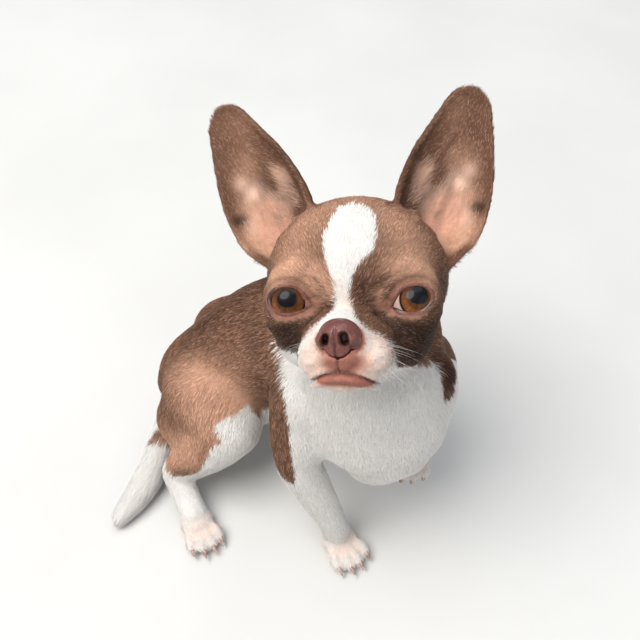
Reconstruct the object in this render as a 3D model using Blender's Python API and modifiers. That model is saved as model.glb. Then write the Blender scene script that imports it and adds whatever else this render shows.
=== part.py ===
"""A life-size still model of a smooth-coated chihuahua: it sits with its hips rolled to one side, lifts
its left forepaw and looks up. Metres, +Z up, the face turned towards -Y, the dog's left towards +X.

The flesh is one lump of lofts and balls that is fused, smoothed and reduced, and is then parted into
named nodes by cutters that leave a thin gap. The floor is at z = 0.
"""

import math

import bmesh
import bpy
from mathutils import Matrix, Vector

# Driving dimensions of the head.
EYE_HEIGHT = 0.175
EYE_RADIUS = 0.0100
EYE_SPACING = 0.0490
HEAD_PITCH = math.radians(48)
HEAD_YAW = math.radians(13.5)
HEAD_ROLL = math.radians(10)
EAR_LENGTH = 0.0600
EAR_THICKNESS = 0.0019
EAR_TILTS = {-1: 31.0, 1: 18.5}
EAR_ROOTS = {-1: (-0.0325, 0.0175, 0.0305), 1: (0.0315, 0.0175, 0.0305)}
NOSE_SIZE = (0.0082, 0.0062, 0.0064)

# Driving dimensions of the limbs.
FOREARM_RADII = (0.0118, 0.0102, 0.0078, 0.0080)
SHANK_RADII = (0.0160, 0.0152, 0.0088)
FOOT_RADII = (0.0088, 0.0074, 0.0078)
TOE_PITCH = 0.0053
CLAW_LENGTH = 0.0052
CLAW_RADIUS = 0.0012

# The width of the cuts between nodes, and how finely the flesh is fused, smoothed and reduced.
GAP = 0.0003
VOXEL = 0.0012
SOFTENING = 30
SMOOTHING = 3
FLESH_TRIANGLES = 5800
FACE_FINENESS = 2e-6
NOSE_TRIANGLES = 420

# The head's own frame: -Y along the muzzle, +Z to the crown, its origin midway between the eyes.
HEAD = (
    Matrix.Translation((0.0123, 0.0, EYE_HEIGHT))
    @ Matrix.Rotation(-HEAD_YAW, 4, "Z")
    @ Matrix.Rotation(-HEAD_PITCH, 4, "X")
    @ Matrix.Rotation(-HEAD_ROLL, 4, "Y")
)
WORLD = Matrix.Identity(4)

# Joints of the skeleton, which the limbs are drawn round.
SHOULDER_R = Vector((-0.008, 0.008, 0.100))
ELBOW_R = Vector((-0.0115, -0.0075, 0.065))
CARPUS_R = Vector((0.0070, -0.0182, 0.018))
SHOULDER_L = Vector((0.050, 0.012, 0.098))
ELBOW_L = Vector((0.0560, 0.048, 0.082))
CARPUS_L = Vector((0.0490, 0.0145, 0.0610))
HIP_R = Vector((-0.067, 0.046, 0.057))
KNEE_R = Vector((-0.0435, 0.0200, 0.0540))
HOCK_R = Vector((-0.0790, 0.0130, 0.0190))
HIP_L = Vector((-0.056, 0.080, 0.056))
KNEE_L = Vector((-0.001, 0.092, 0.052))
HOCK_L = Vector((-0.037, 0.106, 0.018))


def paw_frame(heel, toes, back_of_paw=(0, 0, 1)):
    """A paw's own frame: its origin under the toes' roots, -Y towards the toes, +Z to its back."""
    forward = (Vector(toes) - Vector(heel)).normalized()
    upward = Vector(back_of_paw)
    upward = (upward - forward * upward.dot(forward)).normalized()
    side = (-forward).cross(upward)
    turn = Matrix((side, -forward, upward)).transposed().to_4x4()
    return Matrix.Translation(toes) @ turn


FOREPAW_R = paw_frame((0.0050, -0.0125, 0.0), (0.0122, -0.0245, 0.0))
FOREPAW_L = paw_frame((0.0480, 0.0125, 0.0580), (0.0465, 0.0065, 0.0480), (0, -0.85, 0.5))
HINDPAW_R = paw_frame((-0.0770, 0.0090, 0.0), (-0.0648, -0.0150, 0.0))
HINDPAW_L = paw_frame((-0.0250, 0.1070, 0.0), (0.0080, 0.1055, 0.0))


def clear_scene():
    """Empties the scene and makes the collections for the model and for its cutters."""
    for thing in list(bpy.data.objects):
        bpy.data.objects.remove(thing)
    made = []
    for name in ("chihuahua", "cutters"):
        collection = bpy.data.collections.new(name)
        bpy.context.scene.collection.children.link(collection)
        made.append(collection)
    return made


def ball(lump, centre, radii, frame=WORLD, turn=(0, 0, 0), fineness=24):
    """Adds an ellipsoid to a lump: centre and radii along frame's axes, turn in degrees about them."""
    spin = Matrix.Identity(4)
    for degrees, axis in zip(turn, "XYZ"):
        spin = Matrix.Rotation(math.radians(degrees), 4, axis) @ spin
    place = frame @ Matrix.Translation(centre) @ spin @ Matrix.Diagonal((*radii, 1))
    rows = fineness * 2 // 3
    bmesh.ops.create_uvsphere(lump, u_segments=fineness, v_segments=rows, radius=1, matrix=place)


def through(values, t):
    """The Catmull-Rom curve through a list of vectors, at t from 0 to 1."""
    last = len(values) - 1
    k = min(int(t * last), last - 1)
    s = t * last - k
    b, c = values[k], values[k + 1]
    a = values[k - 1] if k > 0 else b * 2 - c
    d = values[k + 2] if k + 2 <= last else c * 2 - b
    bend = (a * 2 - b * 5 + c * 4 - d) * s**2 + (b * 3 - a - c * 3 + d) * s**3
    return (b * 2 + (c - a) * s + bend) / 2


def loft(lump, stations, up=(0, 0, 1), frame=WORLD, sides=20, steps=5, rounded=True):
    """Adds a closed tube through stations, each (centre, half width, half height)."""
    centres = [frame @ Vector(centre) for centre, _, _ in stations]
    sizes = [Vector((width, height)) for _, width, height in stations]
    count = steps * (len(stations) - 1)
    upwards = frame.to_3x3() @ Vector(up)
    beyond = 2 if rounded else 0
    rings = []
    for k in range(-beyond, count + beyond + 1):
        t = min(max(k / count, 0.0), 1.0)
        centre, size = through(centres, t), through(sizes, t)
        along = through(centres, min(t + 0.02, 1)) - through(centres, max(t - 0.02, 0))
        along.normalize()
        over = k if k < 0 else max(k - count, 0)
        if over:
            centre = centre + along * min(size) * over * 0.35
            size = size * (0.86 if abs(over) == 1 else 0.5)
        side = along.cross(upwards).normalized()
        lift = side.cross(along)
        ring = []
        for n in range(sides):
            angle = 2 * math.pi * n / sides
            offset = side * size.x * math.cos(angle) + lift * size.y * math.sin(angle)
            ring.append(lump.verts.new(centre + offset))
        rings.append(ring)
    for low, high in zip(rings, rings[1:]):
        for n in range(sides):
            m = (n + 1) % sides
            lump.faces.new((low[n], low[m], high[m], high[n]))
    lump.faces.new(list(reversed(rings[0])))
    lump.faces.new(rings[-1])


def limb(lump, points, radii):
    """Adds a round limb through points, with a radius at each."""
    stations = [(point, radius, radius) for point, radius in zip(points, radii)]
    loft(lump, stations, up=(0.3, 1, 0.2))


def mesh_object(lump, name, collection):
    """Turns a lump into an object, with its faces pointing out."""
    bmesh.ops.recalc_face_normals(lump, faces=lump.faces)
    mesh = bpy.data.meshes.new(name)
    lump.to_mesh(mesh)
    lump.free()
    made = bpy.data.objects.new(name, mesh)
    collection.objects.link(made)
    return made


def bake_modifiers(thing):
    """Replaces an object's mesh with what its modifiers make of it."""
    graph = bpy.context.evaluated_depsgraph_get()
    baked = bpy.data.meshes.new_from_object(thing.evaluated_get(graph))
    thing.modifiers.clear()
    thing.data = baked


def keep_largest(thing):
    """Drops every closed surface of an object but the one with the most faces."""
    work = bmesh.new()
    work.from_mesh(thing.data)
    work.verts.ensure_lookup_table()
    seen, islands = set(), []
    for start in work.verts:
        if start.index in seen:
            continue
        seen.add(start.index)
        island, queue = [], [start]
        while queue:
            vertex = queue.pop()
            island.append(vertex)
            for edge in vertex.link_edges:
                other = edge.other_vert(vertex)
                if other.index not in seen:
                    seen.add(other.index)
                    queue.append(other)
        islands.append(island)
    islands.sort(key=len, reverse=True)
    for island in islands[1:]:
        bmesh.ops.delete(work, geom=island, context="VERTS")
    work.to_mesh(thing.data)
    work.free()


def boolean(thing, other, operation):
    """Joins other to a thing, cuts it away or keeps what they share, and bakes the result.

    The manifold solver takes over where the exact one leaves nothing.
    """
    before = thing.data
    for solver in ("EXACT", "MANIFOLD"):
        thing.data = before
        step = thing.modifiers.new(operation.lower(), "BOOLEAN")
        step.object, step.operation, step.solver = other, operation, solver
        bake_modifiers(thing)
        if len(thing.data.polygons) > 0:
            break
    keep_largest(thing)


def fuse(thing, voxel):
    """Fuses the lofts and balls of an object into one skin."""
    step = thing.modifiers.new("fuse", "REMESH")
    step.mode, step.voxel_size = "VOXEL", voxel
    bake_modifiers(thing)
    keep_largest(thing)


def grown_copy(thing, collection):
    """A cutter with a thing's shape, larger by the gap on every side."""
    copy = bpy.data.objects.new(thing.name + "_cutter", thing.data.copy())
    collection.objects.link(copy)
    step = copy.modifiers.new("grow", "DISPLACE")
    step.mid_level, step.strength = 0.0, GAP
    bake_modifiers(copy)
    return copy


def torso(lump):
    """The trunk along the curved spine, from the rump to the point of the chest."""
    loft(lump, [
        ((-0.078, 0.060, 0.032), 0.0150, 0.0190),
        ((-0.066, 0.058, 0.044), 0.0240, 0.0270),
        ((-0.046, 0.057, 0.062), 0.0275, 0.0300),
        ((-0.022, 0.053, 0.081), 0.0325, 0.0365),
        ((0.002, 0.042, 0.092), 0.0385, 0.0405),
        ((0.022, 0.022, 0.089), 0.0390, 0.0385),
        ((0.031, 0.000, 0.081), 0.0330, 0.0310),
        ((0.034, -0.009, 0.077), 0.0220, 0.0210),
    ])
    ball(lump, (-0.030, 0.052, 0.056), (0.036, 0.026, 0.024), turn=(0, 24, -22))
    ball(lump, (0.036, 0.038, 0.107), (0.0240, 0.028, 0.0250))
    ball(lump, (0.028, -0.004, 0.068), (0.0195, 0.0180, 0.0180))


def neck(lump):
    """The short neck under the raised head, and the throat that runs down into the chest."""
    loft(lump, [
        ((0.008, 0.046, 0.098), 0.036, 0.034),
        ((0.013, 0.042, 0.120), 0.034, 0.030),
        ((0.013, 0.034, 0.140), 0.030, 0.026),
        ((0.012, 0.024, 0.158), 0.026, 0.024),
    ], up=(0, 1, 0.2))
    loft(lump, [
        ((0.029, -0.002, 0.084), 0.033, 0.025),
        ((0.024, 0.000, 0.108), 0.032, 0.024),
        ((0.018, 0.002, 0.132), 0.028, 0.022),
        ((0.014, 0.003, 0.150), 0.024, 0.019),
    ], up=(0, 1, 0.2))


def skull(lump):
    """The apple-shaped skull with its brows and cheeks, in the head's frame."""
    ball(lump, (0, 0.022, 0.0095), (0.0383, 0.0365, 0.0340), HEAD, fineness=32)
    ball(lump, (0, 0.0075, 0.0150), (0.0275, 0.0205, 0.0215), HEAD)
    ball(lump, (0, 0.018, -0.0120), (0.0290, 0.0290, 0.0215), HEAD)
    for side in (-1, 1):
        ball(lump, (side * 0.0185, 0.0090, -0.0115), (0.0145, 0.0185, 0.0165), HEAD)
        brow = (0, side * 10, side * 14)
        ball(lump, (side * 0.0215, -0.0005, 0.0095), (0.0130, 0.0105, 0.0070), HEAD, brow)
        ball(lump, eye_centre(side), (0.0119, 0.0117, 0.0119), HEAD)
        ball(lump, (side * 0.0255, -0.0020, -0.0080), (0.0095, 0.0085, 0.0070), HEAD)
        ball(lump, (side * 0.0262, 0.0090, -0.0010), (0.0103, 0.0145, 0.0140), HEAD)


def muzzle(lump):
    """The short muzzle with its overhanging upper lips, the lower lip and the chin."""
    loft(lump, [
        ((0, 0.004, -0.0150), 0.0195, 0.0125),
        ((0, -0.012, -0.0160), 0.0182, 0.0127),
        ((0, -0.023, -0.0168), 0.0155, 0.0112),
        ((0, -0.031, -0.0165), 0.0115, 0.0092),
    ], frame=HEAD)
    ball(lump, (0, -0.0085, -0.0260), (0.0150, 0.0175, 0.0085), HEAD)
    ball(lump, (0, -0.0215, -0.0285), (0.0112, 0.0108, 0.0056), HEAD)
    for side in (-1, 1):
        pad = (0, side * -8, 0)
        ball(lump, (side * 0.0084, -0.0218, -0.0208), (0.0102, 0.0130, 0.0090), HEAD, pad)
    lip = [(0.0048, -0.0304), (0.0086, -0.0268), (0.0108, -0.0215), (0.0115, -0.0150)]
    path = [(-x, y) for x, y in reversed(lip)] + [(0.0, -0.0316)] + lip
    stations = [((x, y, mouth_height(x) - 0.0019), 0.0016, 0.0019) for x, y in path]
    loft(lump, stations, frame=HEAD, sides=12, steps=3)


def mouth_height(x):
    """How high the line of the mouth runs, x to one side of the middle of the head."""
    return -0.0262 - 0.0038 * min(abs(x) / 0.0118, 1.15) ** 2


def eye_centre(side):
    """Where an eyeball's centre lies in the head's frame."""
    return Vector((side * EYE_SPACING / 2, 0.0005, 0))


def paw(lump, frame, width=1.0):
    """The four toes of a paw, their pads and the pad behind them."""
    ball(lump, (0, 0.0050, 0.0056), (0.0098 * width, 0.0088, 0.0062), frame)
    ball(lump, (0, 0.0015, 0.0018), (0.0062 * width, 0.0052, 0.0024), frame)
    for index in range(4):
        offset = index - 1.5
        reach = 0.0078 - 0.0014 * offset**2
        centre = (offset * TOE_PITCH * width, -reach, 0.0042)
        ball(lump, centre, (0.0031 * width, 0.0064, 0.0045), frame, (0, 0, offset * 7))


def forelegs(lump):
    """The planted right foreleg and the left one, folded with its paw off the ground."""
    for shoulder, elbow, carpus, frame in (
        (SHOULDER_R, ELBOW_R, CARPUS_R, FOREPAW_R),
        (SHOULDER_L, ELBOW_L, CARPUS_L, FOREPAW_L),
    ):
        ball(lump, shoulder, (0.0160, 0.0200, 0.0230))
        limb(lump, [shoulder, shoulder.lerp(elbow, 0.6), elbow], (0.0165, 0.0152, 0.0120))
        wrist = frame @ Vector((0, 0.0070, 0.0075))
        limb(lump, [elbow, elbow.lerp(carpus, 0.45), carpus, wrist], FOREARM_RADII)
        paw(lump, frame)


def hind_legs(lump):
    """The folded hind legs: the right foot turned out in front, the left one under the far flank."""
    for hip, knee, hock, frame in (
        (HIP_R, KNEE_R, HOCK_R, HINDPAW_R),
        (HIP_L, KNEE_L, HOCK_L, HINDPAW_L),
    ):
        limb(lump, [hip, hip.lerp(knee, 0.5), knee], (0.0205, 0.0232, 0.0155))
        limb(lump, [knee, knee.lerp(hock, 0.45), hock], SHANK_RADII)
        ball(lump, hip.lerp(hock, 0.40).lerp(knee, 0.15), (0.0215, 0.0170, 0.0240))
        ankle = frame @ Vector((0, 0.0075, 0.0072))
        limb(lump, [hock, hock.lerp(ankle, 0.5) - Vector((0, 0, 0.0012)), ankle], FOOT_RADII)
        paw(lump, frame, 0.96)


def softness(point):
    """How much the flesh is smoothed at a point: 0 on the face and paws, 1 on the trunk."""
    spots = [(HEAD @ Vector((0, -0.012, -0.010)), 0.027)]
    for frame in (FOREPAW_R, FOREPAW_L, HINDPAW_R, HINDPAW_L):
        spots.append((frame @ Vector((0, 0, 0.004)), 0.017))
    nearest = min((point - centre).length - radius for centre, radius in spots)
    return min(max(nearest / 0.014, 0.0), 1.0)


def model_flesh(collection):
    """Fuses the whole dog but its ears, eyes, nose and tail into one smooth skin."""
    lump = bmesh.new()
    torso(lump)
    neck(lump)
    skull(lump)
    muzzle(lump)
    forelegs(lump)
    hind_legs(lump)
    flesh = mesh_object(lump, "flesh", collection)
    fuse(flesh, VOXEL)
    soft = flesh.vertex_groups.new(name="soft")
    keen = flesh.vertex_groups.new(name="keen")
    for vertex in flesh.data.vertices:
        share = softness(vertex.co)
        soft.add([vertex.index], share, "REPLACE")
        keen.add([vertex.index], 0.1 + 0.9 * share, "REPLACE")
    soften = flesh.modifiers.new("soften", "SMOOTH")
    soften.factor, soften.iterations, soften.vertex_group = 0.5, SOFTENING, "soft"
    smooth = flesh.modifiers.new("smooth", "SMOOTH")
    smooth.factor, smooth.iterations = 0.5, SMOOTHING
    reduce = flesh.modifiers.new("reduce", "DECIMATE")
    reduce.ratio = FLESH_TRIANGLES / (2 * len(flesh.data.polygons))
    reduce.vertex_group, reduce.vertex_group_factor = "keen", FACE_FINENESS
    bake_modifiers(flesh)
    flesh.vertex_groups.clear()
    return flesh


def model_tail(collection):
    """The tail, laid on the floor round the right hock."""
    lump = bmesh.new()
    loft(lump, [
        ((-0.0720, 0.0640, 0.0320), 0.0105, 0.0110),
        ((-0.0830, 0.0500, 0.0205), 0.0100, 0.0100),
        ((-0.0905, 0.0320, 0.0115), 0.0092, 0.0092),
        ((-0.0960, 0.0150, 0.0084), 0.0088, 0.0087),
        ((-0.1020, 0.0025, 0.0072), 0.0078, 0.0076),
        ((-0.1090, -0.0080, 0.0050), 0.0056, 0.0053),
    ], sides=16, steps=4)
    return mesh_object(lump, "tail", collection)


EAR_PROFILE = (
    # Share of the length, outer and inner half width.
    (-0.30, 0.0100, 0.0100),
    (-0.14, 0.0150, 0.0135),
    (-0.02, 0.0190, 0.0165),
    (0.12, 0.0206, 0.0182),
    (0.28, 0.0204, 0.0182),
    (0.47, 0.0184, 0.0166),
    (0.68, 0.0143, 0.0128),
    (0.85, 0.0106, 0.0098),
    (0.94, 0.0078, 0.0073),
    (1.00, 0.0022, 0.0021),
)


def model_ear(side, collection):
    """One ear: a cupped leaf, deep at its root and nearly flat at the tip, its open side forwards."""
    tilt = math.radians(side * EAR_TILTS[side])
    turn = math.radians(side * 16)
    root = Matrix.Translation(EAR_ROOTS[side])
    frame = HEAD @ root @ Matrix.Rotation(tilt, 4, "Y") @ Matrix.Rotation(turn, 4, "Z")
    profile = [Vector(entry) for entry in EAR_PROFILE]
    lump = bmesh.new()
    rows, columns = 14, 8
    grid = []
    for row in range(rows + 1):
        entry = through(profile, row / rows)
        share = entry.x
        open_share = 1 - max(share, 0)
        depth = (0.0014 + 0.0128 * open_share**1.25) * min(open_share / 0.08, 1)
        line = []
        for column in range(columns + 1):
            angle = (2 * column / columns - 1) * math.pi / 2
            half = entry.y if angle > 0 else entry.z
            across = side * half * math.sin(angle)
            back = 0.0090 * share + depth * math.cos(angle)
            line.append(lump.verts.new(frame @ Vector((across, back, share * EAR_LENGTH))))
        grid.append(line)
    for low, high in zip(grid, grid[1:]):
        for k in range(columns):
            lump.faces.new((low[k], low[k + 1], high[k + 1], high[k]))
    made = mesh_object(lump, "ear_left" if side > 0 else "ear_right", collection)
    shell = made.modifiers.new("thickness", "SOLIDIFY")
    shell.thickness, shell.offset = EAR_THICKNESS, 0
    bake_modifiers(made)
    return made


def model_nose(collection, cutters):
    """The nose leather, with its two nostrils and the groove between them."""
    lump = bmesh.new()
    ball(lump, (0, -0.0355, -0.0126), NOSE_SIZE, HEAD, fineness=28)
    ball(lump, (0, -0.0345, -0.0170), (0.0052, 0.0050, 0.0040), HEAD, fineness=20)
    made = mesh_object(lump, "nose", collection)
    fuse(made, 0.0007)
    smooth = made.modifiers.new("smooth", "SMOOTH")
    smooth.factor, smooth.iterations = 0.5, 3
    bake_modifiers(made)
    reduce = made.modifiers.new("reduce", "DECIMATE")
    reduce.ratio = NOSE_TRIANGLES / (2 * len(made.data.polygons))
    bake_modifiers(made)
    lump = bmesh.new()
    for side in (-1, 1):
        loft(lump, [
            ((side * 0.0032, -0.0440, -0.0138), 0.0012, 0.0019),
            ((side * 0.0034, -0.0395, -0.0140), 0.0012, 0.0018),
            ((side * 0.0042, -0.0365, -0.0138), 0.0010, 0.0013),
        ], frame=HEAD, sides=12, steps=2)
        loft(lump, [
            ((side * 0.0040, -0.0425, -0.0156), 0.0008, 0.0005),
            ((side * 0.0066, -0.0395, -0.0164), 0.0008, 0.0005),
        ], frame=HEAD, sides=8, steps=2)
    nostrils = mesh_object(lump, "nostrils", cutters)
    boolean(made, nostrils, "DIFFERENCE")
    return made


def slab(plane, collection, name, grow=0.0):
    """A cutter that fills everything beyond a plane, given as a point of it and its normal."""
    size = 0.4
    corner, normal = Vector(plane[0]), Vector(plane[1]).normalized()
    turn = normal.to_track_quat("Z", "Y").to_matrix().to_4x4()
    lump = bmesh.new()
    place = Matrix.Translation(corner + normal * (size / 2 - grow)) @ turn
    bmesh.ops.create_cube(lump, size=size, matrix=place)
    return mesh_object(lump, name, collection)


def sleeve(stations, collection, name, grow=0.0):
    """A cutter with flat ends round one limb; stations are (centre, radius)."""
    points = [Vector(centre) for centre, _ in stations]
    points[0] = points[0] + (points[0] - points[1]).normalized() * grow
    points[-1] = points[-1] + (points[-1] - points[-2]).normalized() * grow
    lump = bmesh.new()
    rings = [(point, size + grow, size + grow) for point, (_, size) in zip(points, stations)]
    loft(lump, rings, up=(0.3, 1, 0.2), sides=14, steps=1, rounded=False)
    return mesh_object(lump, name, collection)


def split(rest, name, model, cutters, make_cutter, shape):
    """Parts a node from the rest of the flesh: what lies inside a cutter, less the gap round it."""
    node = bpy.data.objects.new(name, rest.data.copy())
    model.objects.link(node)
    boolean(node, make_cutter(shape, cutters, name + "_region", 0.0), "INTERSECT")
    boolean(rest, make_cutter(shape, cutters, name + "_margin", GAP), "DIFFERENCE")
    return node


def almond(side, collection):
    """A cutter for the opening between an eye's lids, drawn as seen from the front."""
    upper = [(0.0142, -0.0034), (0.0166, -0.0012), (0.0190, 0.0020), (0.0223, 0.0043)]
    outer = [(0.0262, 0.0049), (0.0298, 0.0036), (0.0320, 0.0010), (0.0310, -0.0022)]
    lower = [(0.0278, -0.0045), (0.0240, -0.0052), (0.0200, -0.0049), (0.0166, -0.0042)]
    outline = upper + outer + lower
    lump = bmesh.new()
    rings = []
    for depth in (-0.030, -0.0035):
        rings.append([lump.verts.new(HEAD @ Vector((side * x, depth, z))) for x, z in outline])
    front, back = rings
    for n in range(len(outline)):
        m = (n + 1) % len(outline)
        lump.faces.new((front[n], front[m], back[m], back[n]))
    lump.faces.new(front)
    lump.faces.new(list(reversed(back)))
    return mesh_object(lump, "lid_opening", collection)


def model_eyes(flesh, model, cutters):
    """The eyeballs, with their sockets and the openings of the lids cut into the flesh."""
    for side, name in ((-1, "eye_right"), (1, "eye_left")):
        lump = bmesh.new()
        ball(lump, eye_centre(side), (EYE_RADIUS,) * 3, HEAD, fineness=18)
        mesh_object(lump, name, model)
        lump = bmesh.new()
        ball(lump, eye_centre(side), (EYE_RADIUS + GAP,) * 3, HEAD, fineness=18)
        boolean(flesh, almond(side, cutters), "DIFFERENCE")
        boolean(flesh, mesh_object(lump, "socket", cutters), "DIFFERENCE")


def jaw_cutter(height, collection, name, grow):
    """Everything under the line of the mouth, whose height is a function, back to its corners."""
    count = 12
    lump = bmesh.new()
    rings = []
    for y in (-0.060, -0.0050 + grow):
        ring = []
        for k in range(count + 1):
            x = (2 * k / count - 1) * 0.034
            ring.append(lump.verts.new(HEAD @ Vector((x, y, height(x) + grow))))
        for x in (0.034, -0.034):
            ring.append(lump.verts.new(HEAD @ Vector((x, y, -0.060))))
        rings.append(ring)
    front, back = rings
    for n in range(len(front)):
        m = (n + 1) % len(front)
        lump.faces.new((front[n], front[m], back[m], back[n]))
    lump.faces.new(front)
    lump.faces.new(list(reversed(back)))
    return mesh_object(lump, name, collection)


def paw_sleeve(carpus, frame, radius):
    """The stations of a sleeve that takes a paw off at the wrist."""
    toes = frame @ Vector((0, -0.004, 0.004))
    start = carpus.lerp(toes, 0.30)
    return [(start, radius), (start + (toes - carpus).normalized() * 0.045, radius)]


def bone_sleeve(joint, end, radii, ends, shift=(0, 0, 0)):
    """The stations of a sleeve round a bone: moved aside by shift and longer by ends at its ends."""
    along = (end - joint).normalized()
    aside = Vector(shift)
    first, last = joint - along * ends[0] + aside, end + along * ends[1] + aside
    return [(first, radii[0]), (first.lerp(last, 0.5), radii[1]), (last, radii[2])]


def leg_sleeves():
    """The sleeves that part the twelve pieces of the four legs, by name, paws first."""
    toes_r, toes_l = HINDPAW_R.translation, HINDPAW_L.translation
    foot = (0.015, 0.017, 0.020)
    shin = (0.026, 0.025, 0.024)
    thigh = (0.030, 0.030, 0.020)
    return {
        "forepaw_right": paw_sleeve(CARPUS_R, FOREPAW_R, 0.018),
        "forepaw_left": paw_sleeve(CARPUS_L, FOREPAW_L, 0.0135),
        "forearm_right": bone_sleeve(ELBOW_R, CARPUS_R, (0.017, 0.016, 0.015), (-0.004, 0.02)),
        "forearm_left": bone_sleeve(ELBOW_L, CARPUS_L, (0.0135, 0.0125, 0.012), (-0.006, 0.02)),
        "foot_right": bone_sleeve(HOCK_R, toes_r, foot, (-0.005, 0.03)),
        "foot_left": bone_sleeve(HOCK_L, toes_l, foot, (-0.005, 0.03)),
        "shin_right": bone_sleeve(KNEE_R, HOCK_R, shin, (-0.004, 0.02), (0.006, -0.006, -0.008)),
        "shin_left": bone_sleeve(KNEE_L, HOCK_L, shin, (-0.004, 0.02), (0.003, 0.006, -0.009)),
        "thigh_right": bone_sleeve(HIP_R, KNEE_R, thigh, (0.004, 0.018), (-0.002, -0.010, 0.002)),
        "thigh_left": bone_sleeve(HIP_L, KNEE_L, thigh, (0.004, 0.018), (-0.002, 0.012, 0.002)),
        "upper_foreleg_right": bone_sleeve(
            SHOULDER_R, ELBOW_R, (0.020, 0.020, 0.020), (0.012, 0.02), (-0.005, -0.004, 0)
        ),
        "upper_foreleg_left": bone_sleeve(
            SHOULDER_L, ELBOW_L, (0.020, 0.019, 0.018), (0.006, 0.02), (0.006, -0.002, 0)
        ),
    }


def split_limbs(flesh, model, cutters):
    """Parts the pieces of the legs from the flesh and adds the claws."""
    nodes = {}
    for name, stations in leg_sleeves().items():
        nodes[name] = split(flesh, name, model, cutters, sleeve, stations)
    add_claws(nodes["forepaw_right"], FOREPAW_R, 1.0, cutters)
    add_claws(nodes["forepaw_left"], FOREPAW_L, 1.0, cutters)
    add_claws(nodes["foot_right"], HINDPAW_R, 0.96, cutters)
    add_claws(nodes["foot_left"], HINDPAW_L, 0.96, cutters)


def add_claws(node, frame, width, cutters):
    """Fuses a claw to the end of each toe of a paw."""
    for index in range(4):
        offset = index - 1.5
        tip_of_toe = 0.0078 - 0.0014 * offset**2 + 0.0048
        x = offset * TOE_PITCH * width * 1.06
        lump = bmesh.new()
        loft(lump, [
            ((x, -tip_of_toe + 0.0012, 0.0048), CLAW_RADIUS, CLAW_RADIUS * 1.2),
            ((x, -tip_of_toe - 0.5 * CLAW_LENGTH, 0.0041), CLAW_RADIUS * 0.8, CLAW_RADIUS),
            ((x, -tip_of_toe - 0.9 * CLAW_LENGTH, 0.0017), CLAW_RADIUS * 0.3, CLAW_RADIUS * 0.35),
        ], frame=frame, sides=6, steps=1, rounded=False)
        boolean(node, mesh_object(lump, "claw", cutters), "UNION")


def split_trunk(flesh, model, cutters):
    """Parts the head, jaw, neck, belly and rump; what is left is the chest."""
    planes = {
        "neck": ((0.012, 0.030, 0.117), (0.1, -0.25, 1)),
        "rump": ((-0.046, 0.057, 0.062), (-0.8, 0.05, -0.6)),
        "belly": ((-0.016, 0.052, 0.085), (-0.8, 0.1, -0.6)),
    }
    head = split(flesh, "head", model, cutters, slab, ((0, 0, 0.1385), (0, -0.12, 1)))
    split(head, "jaw", model, cutters, jaw_cutter, mouth_height)
    for name, plane in planes.items():
        split(flesh, name, model, cutters, slab, plane)
    flesh.name = "chest"


def move_to_origin(model):
    """Moves the meshes so that the origin is the middle of the underside of the whole dog's box."""
    points = [vertex.co for node in model.objects for vertex in node.data.vertices]
    low = Vector([min(point[axis] for point in points) for axis in range(3)])
    high = Vector([max(point[axis] for point in points) for axis in range(3)])
    shift = Vector((-(low.x + high.x) / 2, -(low.y + high.y) / 2, -low.z))
    for node in model.objects:
        node.data.transform(Matrix.Translation(shift))


CHOCOLATE = (0.16, 0.075, 0.045, 1)
WHITE = (0.80, 0.77, 0.72, 1)
LIVER = (0.14, 0.050, 0.042, 1)
AMBER = (0.10, 0.035, 0.012, 1)
WHITE_NODES = ("forepaw", "forearm", "foot", "shin", "chest", "tail", "jaw")


def paint(model):
    """Gives every node its own material in its main colour, and shades it smooth."""
    for node in model.objects:
        colour, roughness = CHOCOLATE, 0.75
        if node.name.startswith(WHITE_NODES):
            colour = WHITE
        elif node.name.startswith("eye"):
            colour, roughness = AMBER, 0.05
        elif node.name == "nose":
            colour, roughness = LIVER, 0.35
        finish = bpy.data.materials.new(node.name)
        finish.use_nodes = True
        shader = finish.node_tree.nodes["Principled BSDF"]
        shader.inputs["Base Color"].default_value = colour
        shader.inputs["Roughness"].default_value = roughness
        node.data.materials.clear()
        node.data.materials.append(finish)
        node.data.shade_smooth()


def main():
    """Builds the dog."""
    model, cutters = clear_scene()
    flesh = model_flesh(model)
    floor = slab(((0, 0, 0), (0, 0, -1)), cutters, "floor")
    boolean(flesh, floor, "DIFFERENCE")
    nose = model_nose(model, cutters)
    boolean(flesh, grown_copy(nose, cutters), "DIFFERENCE")
    model_eyes(flesh, model, cutters)
    grown = grown_copy(flesh, cutters)
    tail = model_tail(model)
    boolean(tail, grown, "DIFFERENCE")
    boolean(tail, floor, "DIFFERENCE")
    for side in (-1, 1):
        boolean(model_ear(side, model), grown, "DIFFERENCE")
    split_limbs(flesh, model, cutters)
    split_trunk(flesh, model, cutters)
    for cutter in cutters.objects:
        cutter.hide_render = True
        cutter.display_type = "WIRE"
    move_to_origin(model)
    paint(model)


main()
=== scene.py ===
"""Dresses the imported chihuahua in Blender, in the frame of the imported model.

One skin stands for all the solids of flesh. It carries the folds of the face, and over it lies a short
coat of thin tufts that follow the lie of the hair. The eyes, their lids, the nose, the claws and the
whiskers are pieces of their own. Lengths are in metres, except where a name or comment says mm.
"""

import logging
import math
from dataclasses import dataclass, field
from enum import Enum
from typing import Callable, Dict, Iterable, List, Optional, Sequence, Tuple, Union

import bmesh
import bpy
import numpy as np
from mathutils import Matrix, Vector
from mathutils.bvhtree import BVHTree
from mathutils.kdtree import KDTree


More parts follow.
